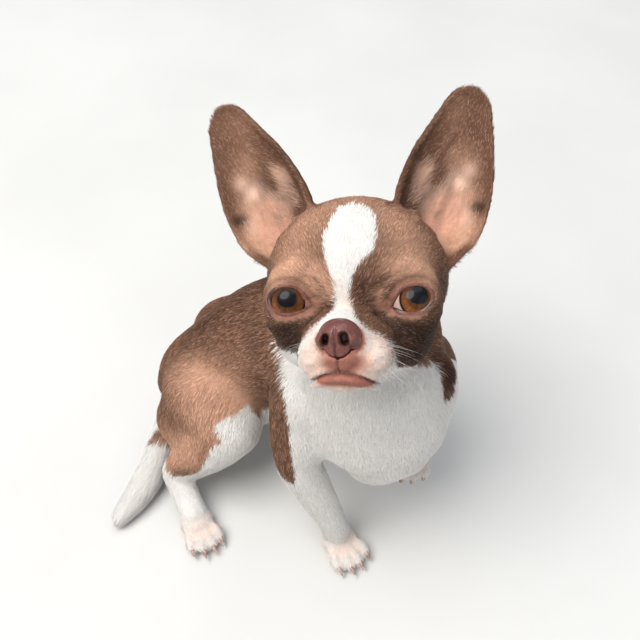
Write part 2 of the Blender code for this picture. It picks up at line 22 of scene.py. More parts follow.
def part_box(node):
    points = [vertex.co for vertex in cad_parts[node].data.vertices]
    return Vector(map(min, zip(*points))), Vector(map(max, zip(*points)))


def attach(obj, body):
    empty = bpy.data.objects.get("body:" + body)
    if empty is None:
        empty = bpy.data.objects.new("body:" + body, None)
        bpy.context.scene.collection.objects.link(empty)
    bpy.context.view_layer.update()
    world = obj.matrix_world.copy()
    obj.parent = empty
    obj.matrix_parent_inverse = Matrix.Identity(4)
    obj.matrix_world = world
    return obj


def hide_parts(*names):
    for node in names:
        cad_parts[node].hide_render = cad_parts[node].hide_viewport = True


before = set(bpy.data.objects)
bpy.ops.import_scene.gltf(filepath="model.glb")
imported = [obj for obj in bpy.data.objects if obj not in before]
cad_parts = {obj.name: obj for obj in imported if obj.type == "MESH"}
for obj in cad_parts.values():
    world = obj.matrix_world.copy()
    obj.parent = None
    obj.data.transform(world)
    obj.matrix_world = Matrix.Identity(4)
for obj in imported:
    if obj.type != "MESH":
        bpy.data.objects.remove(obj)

LOG = logging.getLogger("chihuahua")
MM = 0.001
Array = np.ndarray
Fields = Dict[str, Array]
Colour = Tuple[float, float, float, float]
Triple = Tuple[float, float, float]
Rows = Tuple[Tuple[float, ...], ...]
Faces = List[Tuple[int, ...]]
Mesh = bpy.types.Mesh
Thing = bpy.types.Object
Material = bpy.types.Material
Lump = bmesh.types.BMesh
Socket = bpy.types.NodeSocket

HEAD_MIDDLE = (0, 20, 4)  # Both in mm in the head's frame.
NOSE_MIDDLE = (0, -36, -14.5)
MARKS = ("white", "tan", "dark", "bare", "lips", "pale", "blush")
FLESH = (
    "head", "jaw", "ear_left", "ear_right", "neck", "chest", "belly", "rump", "tail",
    "thigh_left", "thigh_right", "shin_left", "shin_right", "foot_left", "foot_right",
    "upper_foreleg_left", "upper_foreleg_right", "forearm_left", "forearm_right",
    "forepaw_left", "forepaw_right",
)


class Side(Enum):
    """The dog's own sides, as the sign of x in the head's frame."""

    RIGHT = -1
    LEFT = 1


def smooth_step(value: Array, low: float, high: float) -> Array:
    """A share from 0 at low to 1 at high with soft ends; low may be the larger."""
    t = np.clip((value - low) / (high - low), 0.0, 1.0)
    return t * t * (3 - 2 * t)


def bell(value: Array, width: float) -> Array:
    """A share that is 1 where value is 0 and fades over width to both sides."""
    return np.exp(-((value / width) ** 2))


def unit(vectors: Array) -> Array:
    """The same directions with length one."""
    return vectors / np.maximum(np.linalg.norm(vectors, axis=1, keepdims=True), 1e-12)


def pulled(items: bpy.types.bpy_prop_collection, key: str, width: int, kind: type = np.float32) -> Array:
    """Reads one property of many things at once.

    Args:
        items: The things, such as a mesh's vertices.
        key: The property's name.
        width: How many numbers it has.
        kind: What sort of number.

    Returns:
        One row a thing.
    """
    flat = np.empty(len(items) * width, kind)
    items.foreach_get(key, flat)
    return flat.reshape(-1, width)


def mesh_points(mesh: Mesh) -> Array:
    """A mesh's vertices as an array of rows x, y, z."""
    return pulled(mesh.vertices, "co", 3).astype(np.float64)


def set_mesh_points(mesh: Mesh, points: Array) -> None:
    """Moves a mesh's vertices to new places."""
    mesh.vertices.foreach_set("co", points.astype(np.float32).ravel())
    mesh.update()


def mesh_normals(mesh: Mesh) -> Array:
    """A mesh's vertex normals as an array."""
    return pulled(mesh.vertex_normals, "vector", 3).astype(np.float64)


def mesh_edges(mesh: Mesh) -> Array:
    """A mesh's edges as rows of two vertex numbers."""
    return pulled(mesh.edges, "vertices", 2, np.int32)


def mesh_triangles(mesh: Mesh) -> Array:
    """A mesh's faces cut into triangles, as rows of three vertex numbers."""
    mesh.calc_loop_triangles()
    return pulled(mesh.loop_triangles, "vertices", 3, np.int32)


def add_number(mesh: Mesh, name: str, values: Array) -> None:
    """Keeps one number a vertex on a mesh, for its material to read."""
    layer = mesh.attributes.new(name, "FLOAT", "POINT")
    layer.data.foreach_set("value", values.astype(np.float32))


def relax(values: Array, edges: Array, share: Array, rounds: int) -> Array:
    """Draws each vertex's values towards the mean of its neighbours'.

    Args:
        values: One row a vertex, or one number a vertex.
        edges: Rows of two vertex numbers.
        share: How far each vertex moves in a round, 0 to 1.
        rounds: How many rounds.

    Returns:
        The new values.
    """
    table = values.reshape(len(values), -1).copy()
    near, far = np.concatenate([edges, edges[:, ::-1]]).T
    count = np.maximum(np.bincount(near, minlength=len(table)), 1)[:, None]
    pull = share.reshape(-1, 1)
    for _ in range(rounds):
        sums = [np.bincount(near, column[far], len(table)) for column in table.T]
        table += pull * (np.stack(sums, axis=1) / count - table)
    return table.reshape(values.shape)


def placed(name: str, data: Optional[bpy.types.ID]) -> Thing:
    """Makes an object of a mesh, a lamp or a camera and links it to the scene.

    Args:
        name: The object's name.
        data: What it holds.

    Returns:
        The new object.
    """
    made = bpy.data.objects.new(name, data)
    bpy.context.scene.collection.objects.link(made)
    return made


def mesh_object(name: str, points: Array, faces: Iterable[Sequence[int]]) -> Thing:
    """Makes a smooth-shaded mesh object in the scene.

    Args:
        name: The object's name.
        points: Its vertices.
        faces: Its faces as vertex numbers.

    Returns:
        The new object.
    """
    mesh = bpy.data.meshes.new(name)
    mesh.from_pydata([tuple(point) for point in points], [], [tuple(face) for face in faces])
    mesh.validate()
    mesh.shade_smooth()
    return placed(name, mesh)


def bake_modifiers(thing: Thing) -> None:
    """Replaces an object's mesh with what its modifiers make of it.

    Args:
        thing: The object.
    """
    graph = bpy.context.evaluated_depsgraph_get()
    baked = bpy.data.meshes.new_from_object(thing.evaluated_get(graph))
    thing.modifiers.clear()
    thing.data = baked


def fused(name: str, lump: Lump, voxel: float) -> Thing:
    """Melts overlapping closed surfaces into one of even small faces.

    Args:
        name: The new object's name.
        lump: The surfaces, which are freed.
        voxel: The size of the new faces.

    Returns:
        The new object.
    """
    mesh = bpy.data.meshes.new(name)
    lump.to_mesh(mesh)
    lump.free()
    thing = placed(name, mesh)
    step = thing.modifiers.new("fuse", "REMESH")
    step.mode, step.voxel_size = "VOXEL", voxel
    bake_modifiers(thing)
    return thing


def curve_through(points: Sequence[Sequence[float]], count: int, closed: bool = False) -> Array:
    """A smooth curve through points.

    Args:
        points: The points it passes.
        count: How many points the curve gets.
        closed: Whether it runs back to its start.

    Returns:
        The curve's points as an array.
    """
    knots = np.asarray(points, float)
    last = len(knots) if closed else len(knots) - 1
    place = np.linspace(0, last, count, endpoint=not closed)
    cell = np.minimum(place.astype(int), last - 1)
    t = (place - cell)[:, None]

    def knot(index: Array) -> Array:
        """The knots at these numbers, past the ends too."""
        return knots[index % len(knots)] if closed else knots[np.clip(index, 0, last)]

    a, b, c, d = (knot(cell + k) for k in (-1, 0, 1, 2))
    bend = (2 * a - 5 * b + 4 * c - d) * t**2 + (3 * b - a - 3 * c + d) * t**3
    return (2 * b + (c - a) * t + bend) / 2


def distance_to_path(points: Array, path: Array, closed: bool = False) -> Array:
    """How far points lie from a path of straight pieces, in two or three dimensions.

    Args:
        points: The points.
        path: The path's corners.
        closed: Whether it runs back to its start.

    Returns:
        The distances.
    """
    nearest = np.full(len(points), 1e9)
    ends = np.roll(path, -1, axis=0) if closed else path[1:]
    for start, end in zip(path, ends):
        along = end - start
        t = np.clip((points - start) @ along / max(along @ along, 1e-18), 0, 1)
        nearest = np.minimum(nearest, np.linalg.norm(points - start - t[:, None] * along, axis=1))
    return nearest


def inside_outline(points: Array, outline: Array) -> Array:
    """Whether points of a plane lie inside a closed outline.

    Args:
        points: Rows x, y.
        outline: Its corners.

    Returns:
        True for each point inside.
    """
    inside = np.zeros(len(points), bool)
    for (x0, y0), (x1, y1) in zip(outline, np.roll(outline, -1, axis=0)):
        crosses = (y0 > points[:, 1]) != (y1 > points[:, 1])
        where = x0 + (points[:, 1] - y0) * (x1 - x0) / ((y1 - y0) or 1e-12)
        inside ^= crosses & (points[:, 0] < where)
    return inside


@dataclass(frozen=True)
class Axes:
    """A frame of its own inside the model: an origin and three unit directions as rows."""

    origin: Array
    rows: Array

    @classmethod
    def of(cls, matrix: Matrix) -> "Axes":
        """The frame that a matrix describes."""
        return cls(np.array(matrix.translation), np.array(matrix.to_3x3()).T)

    def inwards(self, points: Array) -> Array:
        """Points of the model in this frame."""
        return (points - self.origin) @ self.rows.T

    def outwards(self, points: Array) -> Array:
        """Points of this frame in the model."""
        return np.asarray(points, float) @ self.rows + self.origin

    def turned(self, directions: Array) -> Array:
        """Directions of this frame in the model."""
        return np.asarray(directions, float) @ self.rows


@dataclass(frozen=True)
class Build:
    """The dog's measurements that the scene shares with its solids."""

    eye_height: float = 0.175
    eye_spacing: float = 0.0490
    eye_depth: float = 0.0005
    eye_radius: float = 0.0100
    pitch: float = math.radians(48)
    yaw: float = math.radians(13.5)
    roll: float = math.radians(10)
    ear_length: float = 0.0600
    toe_pitch: float = 0.0053

    def head_matrix(self) -> Matrix:
        """The head's frame: -Y along the muzzle, +Z to the crown, midway between the eyes.

        Returns:
            The frame as a matrix.
        """
        low, high = zip(*(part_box(name) for name in ("eye_left", "eye_right")))
        middle = sum((Vector(corner) for corner in low + high), Vector()) / 4
        turn = (
            Matrix.Rotation(-self.yaw, 4, "Z")
            @ Matrix.Rotation(-self.pitch, 4, "X")
            @ Matrix.Rotation(-self.roll, 4, "Y")
        )
        return Matrix.Translation(middle) @ turn @ Matrix.Translation((0, -self.eye_depth, 0))

    def head(self) -> Axes:
        """The head's frame, for arrays."""
        return Axes.of(self.head_matrix())

    def body_origin(self) -> Vector:
        """Where the origin of the body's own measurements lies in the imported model."""
        return self.head_matrix().translation - Vector((0.0123, 0.0, self.eye_height))

    def body(self) -> Axes:
        """The body's frame, for arrays."""
        return Axes.of(Matrix.Translation(self.body_origin()))

    def ear(self, side: Side) -> Axes:
        """An ear's frame: +Z along it, its open side towards -Y.

        Args:
            side: Which ear.

        Returns:
            The frame.
        """
        root, tilt = {
            Side.RIGHT: ((-0.0325, 0.0175, 0.0305), 31.0),
            Side.LEFT: ((0.0315, 0.0175, 0.0305), 18.5),
        }[side]
        matrix = (
            self.head_matrix()
            @ Matrix.Translation(root)
            @ Matrix.Rotation(math.radians(side.value * tilt), 4, "Y")
            @ Matrix.Rotation(math.radians(side.value * 16), 4, "Z")
        )
        return Axes.of(matrix)

    def eye_centre(self, side: Side) -> Array:
        """An eyeball's centre in the head's frame."""
        return np.array((side.value * self.eye_spacing / 2, self.eye_depth, 0.0))

    def paw(self, heel: Triple, toes: Triple, back: Triple = (0, 0, 1)) -> Axes:
        """A paw's frame from its heel and toes: -Y towards the toes, +Z to its back.

        Args:
            heel: Its heel.
            toes: The middle of its toes.
            back: Roughly where its back faces.

        Returns:
            The frame.
        """
        forward = (Vector(toes) - Vector(heel)).normalized()
        upward = Vector(back)
        upward = (upward - forward * upward.dot(forward)).normalized()
        turn = Matrix(((-forward).cross(upward), -forward, upward)).transposed().to_4x4()
        return Axes.of(Matrix.Translation(Vector(toes) + self.body_origin()) @ turn)

    def paws(self) -> Dict[str, Axes]:
        """The four paws' frames."""
        return {
            "forepaw_right": self.paw((0.0050, -0.0125, 0), (0.0122, -0.0245, 0)),
            "forepaw_left": self.paw(
                (0.0480, 0.0125, 0.0580), (0.0465, 0.0065, 0.0480), (0, -0.85, 0.5)
            ),
            "foot_right": self.paw((-0.0770, 0.0090, 0), (-0.0648, -0.0150, 0)),
            "foot_left": self.paw((-0.0250, 0.1070, 0), (0.0080, 0.1055, 0)),
        }


def mouth_height(x: Array) -> Array:
    """How high the line of the mouth runs in the head's frame, x to one side of its middle."""
    return -0.0262 - 0.0038 * np.minimum(np.abs(x) / 0.0118, 1.15) ** 2


def lid_outline(side: Side, count: int = 72) -> Array:
    """The opening between an eye's lids as seen from the front: rows x, z in the head's frame.

    Args:
        side: Which eye.
        count: How many points it gets.

    Returns:
        The outline.
    """
    upper = [(0.0160, -0.0021), (0.0181, 0.0014), (0.0207, 0.0043), (0.0243, 0.0052), (0.0280, 0.0046)]
    outer = [(0.0305, 0.0028), (0.0314, 0.0004), (0.0301, -0.0026)]
    lower = [(0.0270, -0.0047), (0.0237, -0.0052), (0.0207, -0.0044), (0.0180, -0.0032)]
    outline = curve_through(upper + outer + lower, count, closed=True)
    outline += side.value * 0.0003
    outline[:, 1] += side.value * 0.08 * (outline[:, 0] - 0.0245)
    if side is Side.RIGHT:
        outline[:, 1] -= 0.0006 * smooth_step(outline[:, 1], -0.0010, -0.0040)
        outline[:, 0] -= 0.0012 * smooth_step(outline[:, 0], 0.0205, 0.0160)
    return outline * (side.value, 1)


@dataclass(frozen=True)
class Spot:
    """A soft-edged patch: its middle and its reach in mm, and how strong it is."""

    middle: Triple
    reach: float
    strength: float = 1.0

    def share(self, points: Array) -> Array:
        """How much of the patch each point has, points in mm."""
        gap = np.linalg.norm(points - np.array(self.middle), axis=1) / self.reach
        return self.strength * np.exp(-gap * gap)


Spots = Tuple[Spot, ...]


def spots(*rows: Tuple[float, ...]) -> Spots:
    """Patches from rows of x, y, z, reach and strength."""
    return tuple(Spot(row[:3], row[3], row[4]) for row in rows)


def patches(points: Array, chosen: Iterable[Spot]) -> Array:
    """How much of any of the patches each point has, points in mm.

    Args:
        points: The points.
        chosen: The patches.

    Returns:
        Shares from 0 to 1.
    """
    rest = np.ones(len(points))
    for spot in chosen:
        rest *= 1 - np.clip(spot.share(points), 0, 1)
    return 1 - rest


@dataclass(frozen=True)
class Markings:
    """The colours of the coat over the dog: where it is white, tan, dark or bare, some of it painted light
    and shade.
    """

    build: Build
    blaze_rows: Rows = (
        # Height in the head's frame, left and right edge, in mm.
        (-60, -34, 38), (-32, -20, 24), (-26, -17.5, 18.4), (-21, -17, 16.8), (-15.5, -15.8, 15.8),
        (-12.9, -14, 13.2), (-10.8, -11.6, 9), (-9, -9.6, 6.8), (-6.8, -7.6, 4.6), (-5, -6, 3.2),
        (-3, -4.8, 1.7), (0, -4.1, 0.6), (3, -4.2, 0.8), (8.3, -5.4, 1.9), (11, -6.8, 3),
        (13.6, -7.8, 5.2), (18, -8.8, 9.4), (24.6, -9.4, 10.2), (31, -7, 9.6), (34.5, -6, 7.4),
        (36.6, -4.4, 4.6), (38, 0, 0),
    )
    # Tan brows and muzzle; the wide forehead and crown spots are painted sheen where light falls on top.
    tan_and_painted_sheen_on_head: Spots = spots(
        (-22.5, -9.8, 12, 7.5, 0.85), (-29.5, -7.6, 9.6, 6, 0.8), (-11, -12, 8, 5.5, 0.85),
        (24.5, -7.5, 13.6, 7.5, 0.8), (17, -9.9, 11.6, 5, 0.6), (31.8, -4.5, 10.2, 5.5, 0.7),
        (11.6, -11.8, 2.6, 2.6, 0.6), (17.2, -13, -11, 2.6, 0.45), (-7.6, -13, 3, 3, 0.8),
        (-24, -4, 23, 15, 0.42), (-15, 0, 33, 12, 0.5), (16, 0, 31, 13, 0.45), (23, -3, 23, 12, 0.42),
        (0, 6, 42, 13, 0.55),
    )
    # Dark hair, with painted shade under the eyes, low on the cheeks, along the jaw and at the temples.
    dark_and_painted_shade_on_head: Spots = spots(
        (6.8, -13.2, 6.8, 2.4, 0.55), (4.6, -13.2, 3.6, 2.6, 0.7), (5.6, -12.5, -1, 3, 0.65),
        (10.6, -11, -5.6, 3.2, 0.9), (10.6, -11, -2.2, 2.4, 0.75), (-11, -12.5, -3.6, 2.2, 0.7),
        (-14.6, -11.5, -7.6, 2.8, 0.8), (-22.8, -9, -12.4, 6.5, 0.95), (20.5, -9.3, -11.6, 6.5, 0.95),
        (27.6, -7, -14, 9, 1), (-28, -8, -14.5, 7, 0.8), (-22, -8, -18, 8, 0.9), (25, -4, -21, 9.5, 1),
        (33, 0, -12, 10, 0.95), (-33, 4, -12, 9, 0.65), (36, 10, 2, 9, 0.6), (-36, 8, 4, 9, 0.5),
        (15, -11, -8.8, 3, 0.8), (31, 8, -22, 11, 0.9),
    )
    # Tan hair on the haunch and thigh, lightened further as painted light where the haunch is lit.
    tan_and_painted_light_on_body: Spots = spots(
        (-61.5, 32, 76.6, 14.5, 1), (-43.2, 22.4, 70, 13, 1), (-47, 29, 80, 11, 0.7),
        (-58, 15.2, 68, 13, 1), (-77, 12, 36, 15, 1), (-70, 12, 46, 12, 0.9), (-84, 22, 30, 11, 0.85),
        (-88, 24, 19, 9, 0.6), (-36, 30, 98, 10, 0.2), (-74, 36, 66, 11, 0.35),
    )
    # Darker back hair, partly painted shade; the spot on the neck's left and the low right flank spots are
    # painted shade.
    dark_and_painted_shade_on_body: Spots = spots(
        (-62, 66, 86, 15, 0.4), (-44.8, 70, 100, 18, 0.45), (-29.3, 62, 116, 16, 0.5),
        (-28, 34, 112, 10, 0.4), (-5, 74, 122, 18, 0.5), (20, 76, 122, 18, 0.5), (-81, 33, 62, 9, 0.35),
        (-76, 20, 58, 5, 0.2), (-70, 4, 31.5, 5, 0.6), (-77, 5, 29, 5, 0.6), (-26, 12, 90, 9, 0.5),
        (-27, 10, 70, 8, 0.6), (58, 8, 117, 12, 1), (-22, 8, 112, 7, 0.4), (-52, 56, 92, 15, 0.3),
    )
    thigh_patch: Rows = (
        # x and z of the white patch's edge as seen from the front, in mm.
        (-30, 67.5), (-38, 67.5), (-46, 68.5), (-52, 66.5), (-53.5, 63), (-48.8, 60.5), (-53.2, 57.3),
        (-56.7, 52.6), (-58.7, 48), (-60.9, 41.1), (-64.2, 34.4), (-69.1, 30), (-77.5, 27), (-90, 26),
        (-92, -5), (-10, -5), (-10, 62),
    )
    haunch_line: Rows = ((-84, 32, 34), (-88, 26, 20))
    tail_line: Rows = (
        (-91, 24, 11), (-96, 15, 8.4), (-102, 2.5, 7.2), (-109, -8, 5),
    )
    neck_line: Rows = ((60, 34, 126), (58, 20, 121), (57, 8, 117), (56.5, 0, 112.5))
    peach: Spots = spots(
        (12.6, -28, -14.6, 6.5, 0.9), (17, -24, -19, 5.5, 0.95), (14, -30, -22, 5, 0.8),
        (-11.4, -25, -10.6, 3.2, 0.95), (-0.8, -12.5, -2, 4.2, 0.55), (-3.6, -12.5, 5, 3.2, 0.4),
        (8.6, -25, -10, 3, 0.6), (-15.5, -24, -22, 4.5, 0.45),
    )
    furrow: Rows = (
        # x and z of the furrow from an eye's inner corner down the cheek, in mm.
        (7.4, -2.6), (10.6, -4), (13.8, -7), (17.2, -10.6),
    )
    frown: Rows = ((8.2, 1.6), (9.6, 4.8), (12.4, 8.2))
    # Dark rims and hair of the ears, with painted shade in the hollows, folds and pocket of the cups.
    ear_dark_and_hollow_shade: Spots = spots(
        # Across the ear, back, and along it, in mm in its own frame.
        (17.8, 5.4, 13.2, 2.7, 1), (15.8, 6.9, 13.4, 1.9, 0.8), (-17, 3, 25, 5, 0.45),
        (-15.2, 6, 15, 3.8, 0.5), (1.4, 10.8, 22.2, 2.8, 0.5), (-1.5, 11, 19, 2.2, 0.35),
        (2.8, 12.2, 5.8, 1.7, 0.8), (-14.5, 6, 6, 4, 0.5),
    )
    ear_tan: Spots = spots(
        (15.5, 6, 2, 8, 1), (12, 8, -6, 8, 1), (11.5, 9.5, 16.5, 5, 0.8), (2.5, 10, 31.5, 6.5, 0.42),
        (-9, 9, 20, 4, 0.6), (-5, 8.5, 47, 7, 0.22), (9, 9.4, 28, 4, 0.5),
    )
    # Pale hair and skin inside the ears, with painted light shining through the thin ear.
    ear_pale_and_painted_light: Spots = spots(
        (6.8, 10.5, 20.8, 4.2, 0.95), (3.4, 11.6, 12.6, 4, 0.75), (9.4, 11, 9, 5, 0.75),
        (-9.4, 9.8, 18.6, 3, 0.6), (-5.4, 11, 14, 2.6, 0.5), (9.2, 9.4, 27, 3, 0.5),
        (14, 9, 7.4, 3.6, 0.55), (-3, 11.5, 8, 3.4, 0.45),
    )

    def on_head(self, world: Array) -> Array:
        """How much of each place belongs to the head and not to the trunk."""
        local = self.build.head().inwards(world) / MM
        return smooth_step(np.linalg.norm(local - HEAD_MIDDLE, axis=1), 66, 44)

    def white_on_head(self, local: Array) -> Array:
        """The blaze, the muzzle, the chin and the throat; points in mm in the head's frame.

        Args:
            local: The points.

        Returns:
            Shares of white.
        """
        rows = np.array(self.blaze_rows)
        left = np.interp(local[:, 2], rows[:, 0], rows[:, 1])
        right = np.interp(local[:, 2], rows[:, 0], rows[:, 2])
        gap = np.maximum(left - local[:, 0], local[:, 0] - right)
        soft = smooth_step(np.abs(local[:, 0]), 6, 11) * smooth_step(local[:, 2], -6, -10)
        blaze = smooth_step(gap / (1 + 1.1 * soft), 1.6, -1.4) * smooth_step(local[:, 1], 9.0, 5.0)
        floor = -18.0 - 0.14 * (local[:, 0] + 28)
        return np.maximum(blaze, smooth_step(local[:, 2], floor, floor - 2.2))

    def neck_patch(self, local: Array) -> Array:
        """The brown point on the left of the neck, which reaches down between white and white.

        Args:
            local: Points in mm in the body's frame.

        Returns:
            Shares of brown.
        """
        gap = distance_to_path(local, curve_through(self.neck_line, 9))
        reach = np.interp(local[:, 1], [-2, 6, 14, 28], [3.4, 6.4, 10.0, 18.0])
        return smooth_step(gap - reach, 1.2, -1.2)

    def white_on_body(self, local: Array) -> Array:
        """The bib, the belly, the legs and the tail; points in mm in the body's frame.

        Args:
            local: The points.

        Returns:
            Shares of white.
        """
        x, y, z = local.T
        left = np.interp(z, [45, 58, 66, 81, 116, 130], [-30, -14, -12, -13.5, -15.0, -16.5])
        back = np.interp(z, [40, 70, 90, 116, 135], [34, 24, 16, 17, 20])
        back = np.where(x > 45, np.interp(z, [60, 92, 108, 140], [50, 34, 22, 16]), back)
        bib = np.maximum(left - x, y - back)
        white = smooth_step(bib, 1.4, -1.4) * (1 - self.neck_patch(local))
        forelegs = np.maximum(z - np.interp(y, [-25, -5, 20], [56, 58, 62]), -26 - x)
        white = np.maximum(white, smooth_step(np.maximum(forelegs, y - 28), 2.0, -2.0))
        lifted = np.maximum(np.maximum(z - 84, 38 - x), y - 46)
        white = np.maximum(white, smooth_step(lifted, 2.0, -2.0))
        outline = np.array(self.thigh_patch)
        gap = distance_to_path(local[:, ::2], outline, closed=True)
        gap = np.where(inside_outline(local[:, ::2], outline), -gap, gap)
        thigh = np.maximum(gap, y - np.interp(z, [30, 60, 70], [26, 21, 24]))
        white = np.maximum(white, smooth_step(thigh, 1.2, -1.2))
        belly = np.maximum(np.maximum(z - 60, np.abs(y - 50) - 34), np.abs(x + 15) - 45)
        white = np.maximum(white, 0.9 * smooth_step(belly, 3.0, -3.0))
        haunch = distance_to_path(local, np.array(self.haunch_line))
        feet = smooth_step(z, 29, 25) * (1 - smooth_step(haunch, 13, 9))
        tail = smooth_step(distance_to_path(local, np.array(self.tail_line)), 13, 10)
        return np.maximum(white, np.maximum(feet, tail))

    def read(self, world: Array) -> Fields:
        """The markings at points of the model.

        Args:
            world: Points of the model.

        Returns:
            The shares of white hair, of tan hair with painted sheen and light, of dark hair with painted
            shade, of bare skin, of the lips' colour, of the pale hair in the ears with painted light shining
            through and of the blush round the mouth, by name.
        """
        head, body = self.build.head().inwards(world) / MM, self.build.body().inwards(world) / MM
        upper = self.on_head(world)
        white = upper * self.white_on_head(head) + (1 - upper) * self.white_on_body(body)
        tan = upper * patches(head, self.tan_and_painted_sheen_on_head) + (1 - upper) * patches(body, self.tan_and_painted_light_on_body)
        dark = upper * patches(head, self.dark_and_painted_shade_on_head) + (1 - upper) * patches(body, self.dark_and_painted_shade_on_body)
        bare, pale = np.zeros(len(world)), np.zeros(len(world))
        for side in Side:
            ear, share = self.ear_place(world, side)
            tan = tan * (1 - share) + share * patches(ear, self.ear_tan)
            dark = dark * (1 - share) + share * patches(ear, self.ear_dark_and_hollow_shade)
            white *= 1 - share
            hollow = np.linalg.norm((ear[:, ::2] - (6.0, 6.0)) / (11.0, 13.5), axis=1)
            bare = np.maximum(bare, 0.8 * share * smooth_step(hollow, 1.0, 0.45))
            pale = np.maximum(pale, share * patches(ear, self.ear_pale_and_painted_light))
        lids, lid_dark_and_crease_shade = self.lid_skin(head)
        lips, slit, blush = self.lips(head)
        blush = np.maximum(blush, self.toes(body))
        lips = np.maximum(lids, np.maximum(lips, slit))
        # The dark share holds painted shade from the creases by the eyes and along the mouth.
        return {
            "white": white * (1 - lids), "tan": tan * (1 - lids), "pale": pale, "blush": blush,
            "dark": np.maximum(np.maximum(dark * (1 - lips), lid_dark_and_crease_shade), slit),
            "bare": np.maximum(bare, lips), "lips": lips,
        }

    def ear_place(self, world: Array, side: Side) -> Tuple[Array, Array]:
        """Points in an ear's frame in mm, x outwards, and how far they lie inside its cup.

        Args:
            world: Points of the model.
            side: Which ear.

        Returns:
            The points in the frame, and the shares.
        """
        ear = self.build.ear(side).inwards(world) / MM
        ear[:, 0] *= side.value
        open_share = np.clip(1 - ear[:, 2] / 60, 0, 1)
        shell = 9.0 * ear[:, 2] / 60 + (1.4 + 12.8 * open_share**1.25) * np.sqrt(
            np.clip(1 - (ear[:, 0] / 20.5) ** 2, 0, 1)
        )
        inside = smooth_step(ear[:, 1] - shell, 1.0, 0.0) * smooth_step(ear[:, 1] - shell, -9.0, -5.0)
        reach = smooth_step(ear[:, 2], -12, -4) * smooth_step(ear[:, 1], -8, -3)
        return ear, inside * reach * (np.abs(ear[:, 0]) < 23) * (ear[:, 2] < 62)

    def lid_skin(self, head: Array) -> Tuple[Array, Array]:
        """Where the lids' bare skin shows, and how dark it is, with painted shade in the creases round the
        eyes.

        Args:
            head: Points in mm in the head's frame.

        Returns:
            Shares of bare skin and of darkness, part of it painted shade in creases.
        """
        bare, lid_dark_and_crease_shade = np.zeros(len(head)), np.zeros(len(head))
        front = head[:, 1] < -6
        for side in Side:
            near = np.linalg.norm(head - self.build.eye_centre(side) / MM, axis=1) < 16
            near &= head[:, 1] < -2
            spot = head[near]
            gap = distance_to_path(spot[:, ::2], lid_outline(side, 36) / MM, closed=True)
            low = smooth_step(spot[:, 2], 1.0, -3.0)
            across = spot[:, 0] * side.value
            corner = bell(across - 14.5, 3.0) * smooth_step(spot[:, 2], 1, -2)
            outer = smooth_step(across, 27.0, 31.0)
            reach = 2.0 + 0.1 * low + 1.2 * corner - 0.8 * outer
            reach += 0.3 * np.sin(1.9 * spot[:, 0] + 2.6 * np.sin(0.9 * spot[:, 2]))
            bare[near] = np.maximum(bare[near], 0.72 * smooth_step(gap - reach, 1.4, -1.0))
            # Painted shade in the fold over the upper lid.
            fold = bell(gap - 3.5, 0.8) * (1 - low) * 0.28
            plate = (0.18 + 0.34 * low) * smooth_step(gap, 3.8, 1.6)
            rim = 0.95 * smooth_step(gap, 1.25 - 0.45 * low, 0.6 - 0.25 * low)
            lid_dark_and_crease_shade[near] = np.maximum(lid_dark_and_crease_shade[near], np.maximum(np.maximum(fold, plate), rim))
            mirrored = head[:, ::2] * (side.value, 1)
            # Painted shade along the furrow down the cheek and the frown lines over the inner corners.
            furrow = distance_to_path(mirrored, curve_through(self.furrow, 12))
            lid_dark_and_crease_shade = np.maximum(lid_dark_and_crease_shade, 0.9 * bell(furrow, 0.8) * front)
            frown = distance_to_path(mirrored, curve_through(self.frown, 9))
            lid_dark_and_crease_shade = np.maximum(lid_dark_and_crease_shade, 0.6 * bell(frown, 0.6) * front)
            pocket = np.linalg.norm((mirrored - (12.6, -1.8)) / (3.6, 2.6), axis=1)
            bare = np.maximum(bare, 0.5 * smooth_step(pocket, 1.2, 0.4) * front)
        return bare, lid_dark_and_crease_shade

    def lips(self, head: Array) -> Tuple[Array, Array, Array]:
        """The bare lips and the skin under the nose, the slit of the mouth, and the blush round them.

        Args:
            head: Points in mm in the head's frame.

        Returns:
            Shares of each.
        """
        line = head[:, 2] - mouth_height(head[:, 0] * MM) / MM
        thick = 2.4 * np.sqrt(np.clip(1 - ((head[:, 0] - 1.1) / 10.4) ** 2, 0, 1))
        lower = smooth_step(np.abs(line + thick) - thick, 0.7, -0.5) * (thick > 0.3) * (head[:, 1] < -14)
        # The slit is the lips' dark edge and painted shade along the line of the mouth.
        slit = bell(line, 0.55) * smooth_step(np.abs(head[:, 0]), 15.5, 12.5)
        slit *= smooth_step(head[:, 1], -8.0, -10.0)
        nose = np.linalg.norm((head - (0.3, -36.0, -13.2)) / (1.20, 1, 1.0), axis=1)
        under = np.linalg.norm((head[:, ::2] - (1.6, -22.0)) / (9.5, 5.4), axis=1)
        under = 0.95 * smooth_step(under, 1.25, 0.5) * (head[:, 1] < -20)
        lips = np.maximum(lower, np.maximum(smooth_step(nose, 8.2, 7.2), under))
        round_mouth = np.linalg.norm((head - (0, -32, -23.0)) / (1.35, 1.2, 0.95), axis=1)
        blush = np.maximum(smooth_step(round_mouth, 17.0, 7.5), patches(head, self.peach))
        return lips, slit, blush

    def toes(self, body: Array) -> Array:
        """The pink skin that shines through the short white hair of the toes.

        Args:
            body: Points in mm in the body's frame.

        Returns:
            Shares of pink.
        """
        blush = np.zeros(len(body))
        for axes in self.build.paws().values():
            origin = (axes.origin - np.array(self.build.body_origin())) / MM
            blush = np.maximum(blush, 0.55 * smooth_step(np.linalg.norm(body - origin, axis=1), 17, 8))
        return blush


@dataclass(frozen=True)
class Hide:
    """How the coat grows on one part: its depth, length, width and lift, and how dense it is."""

    depth: float
    length: float
    width: float
    lift: float
    density: float
    softening: float


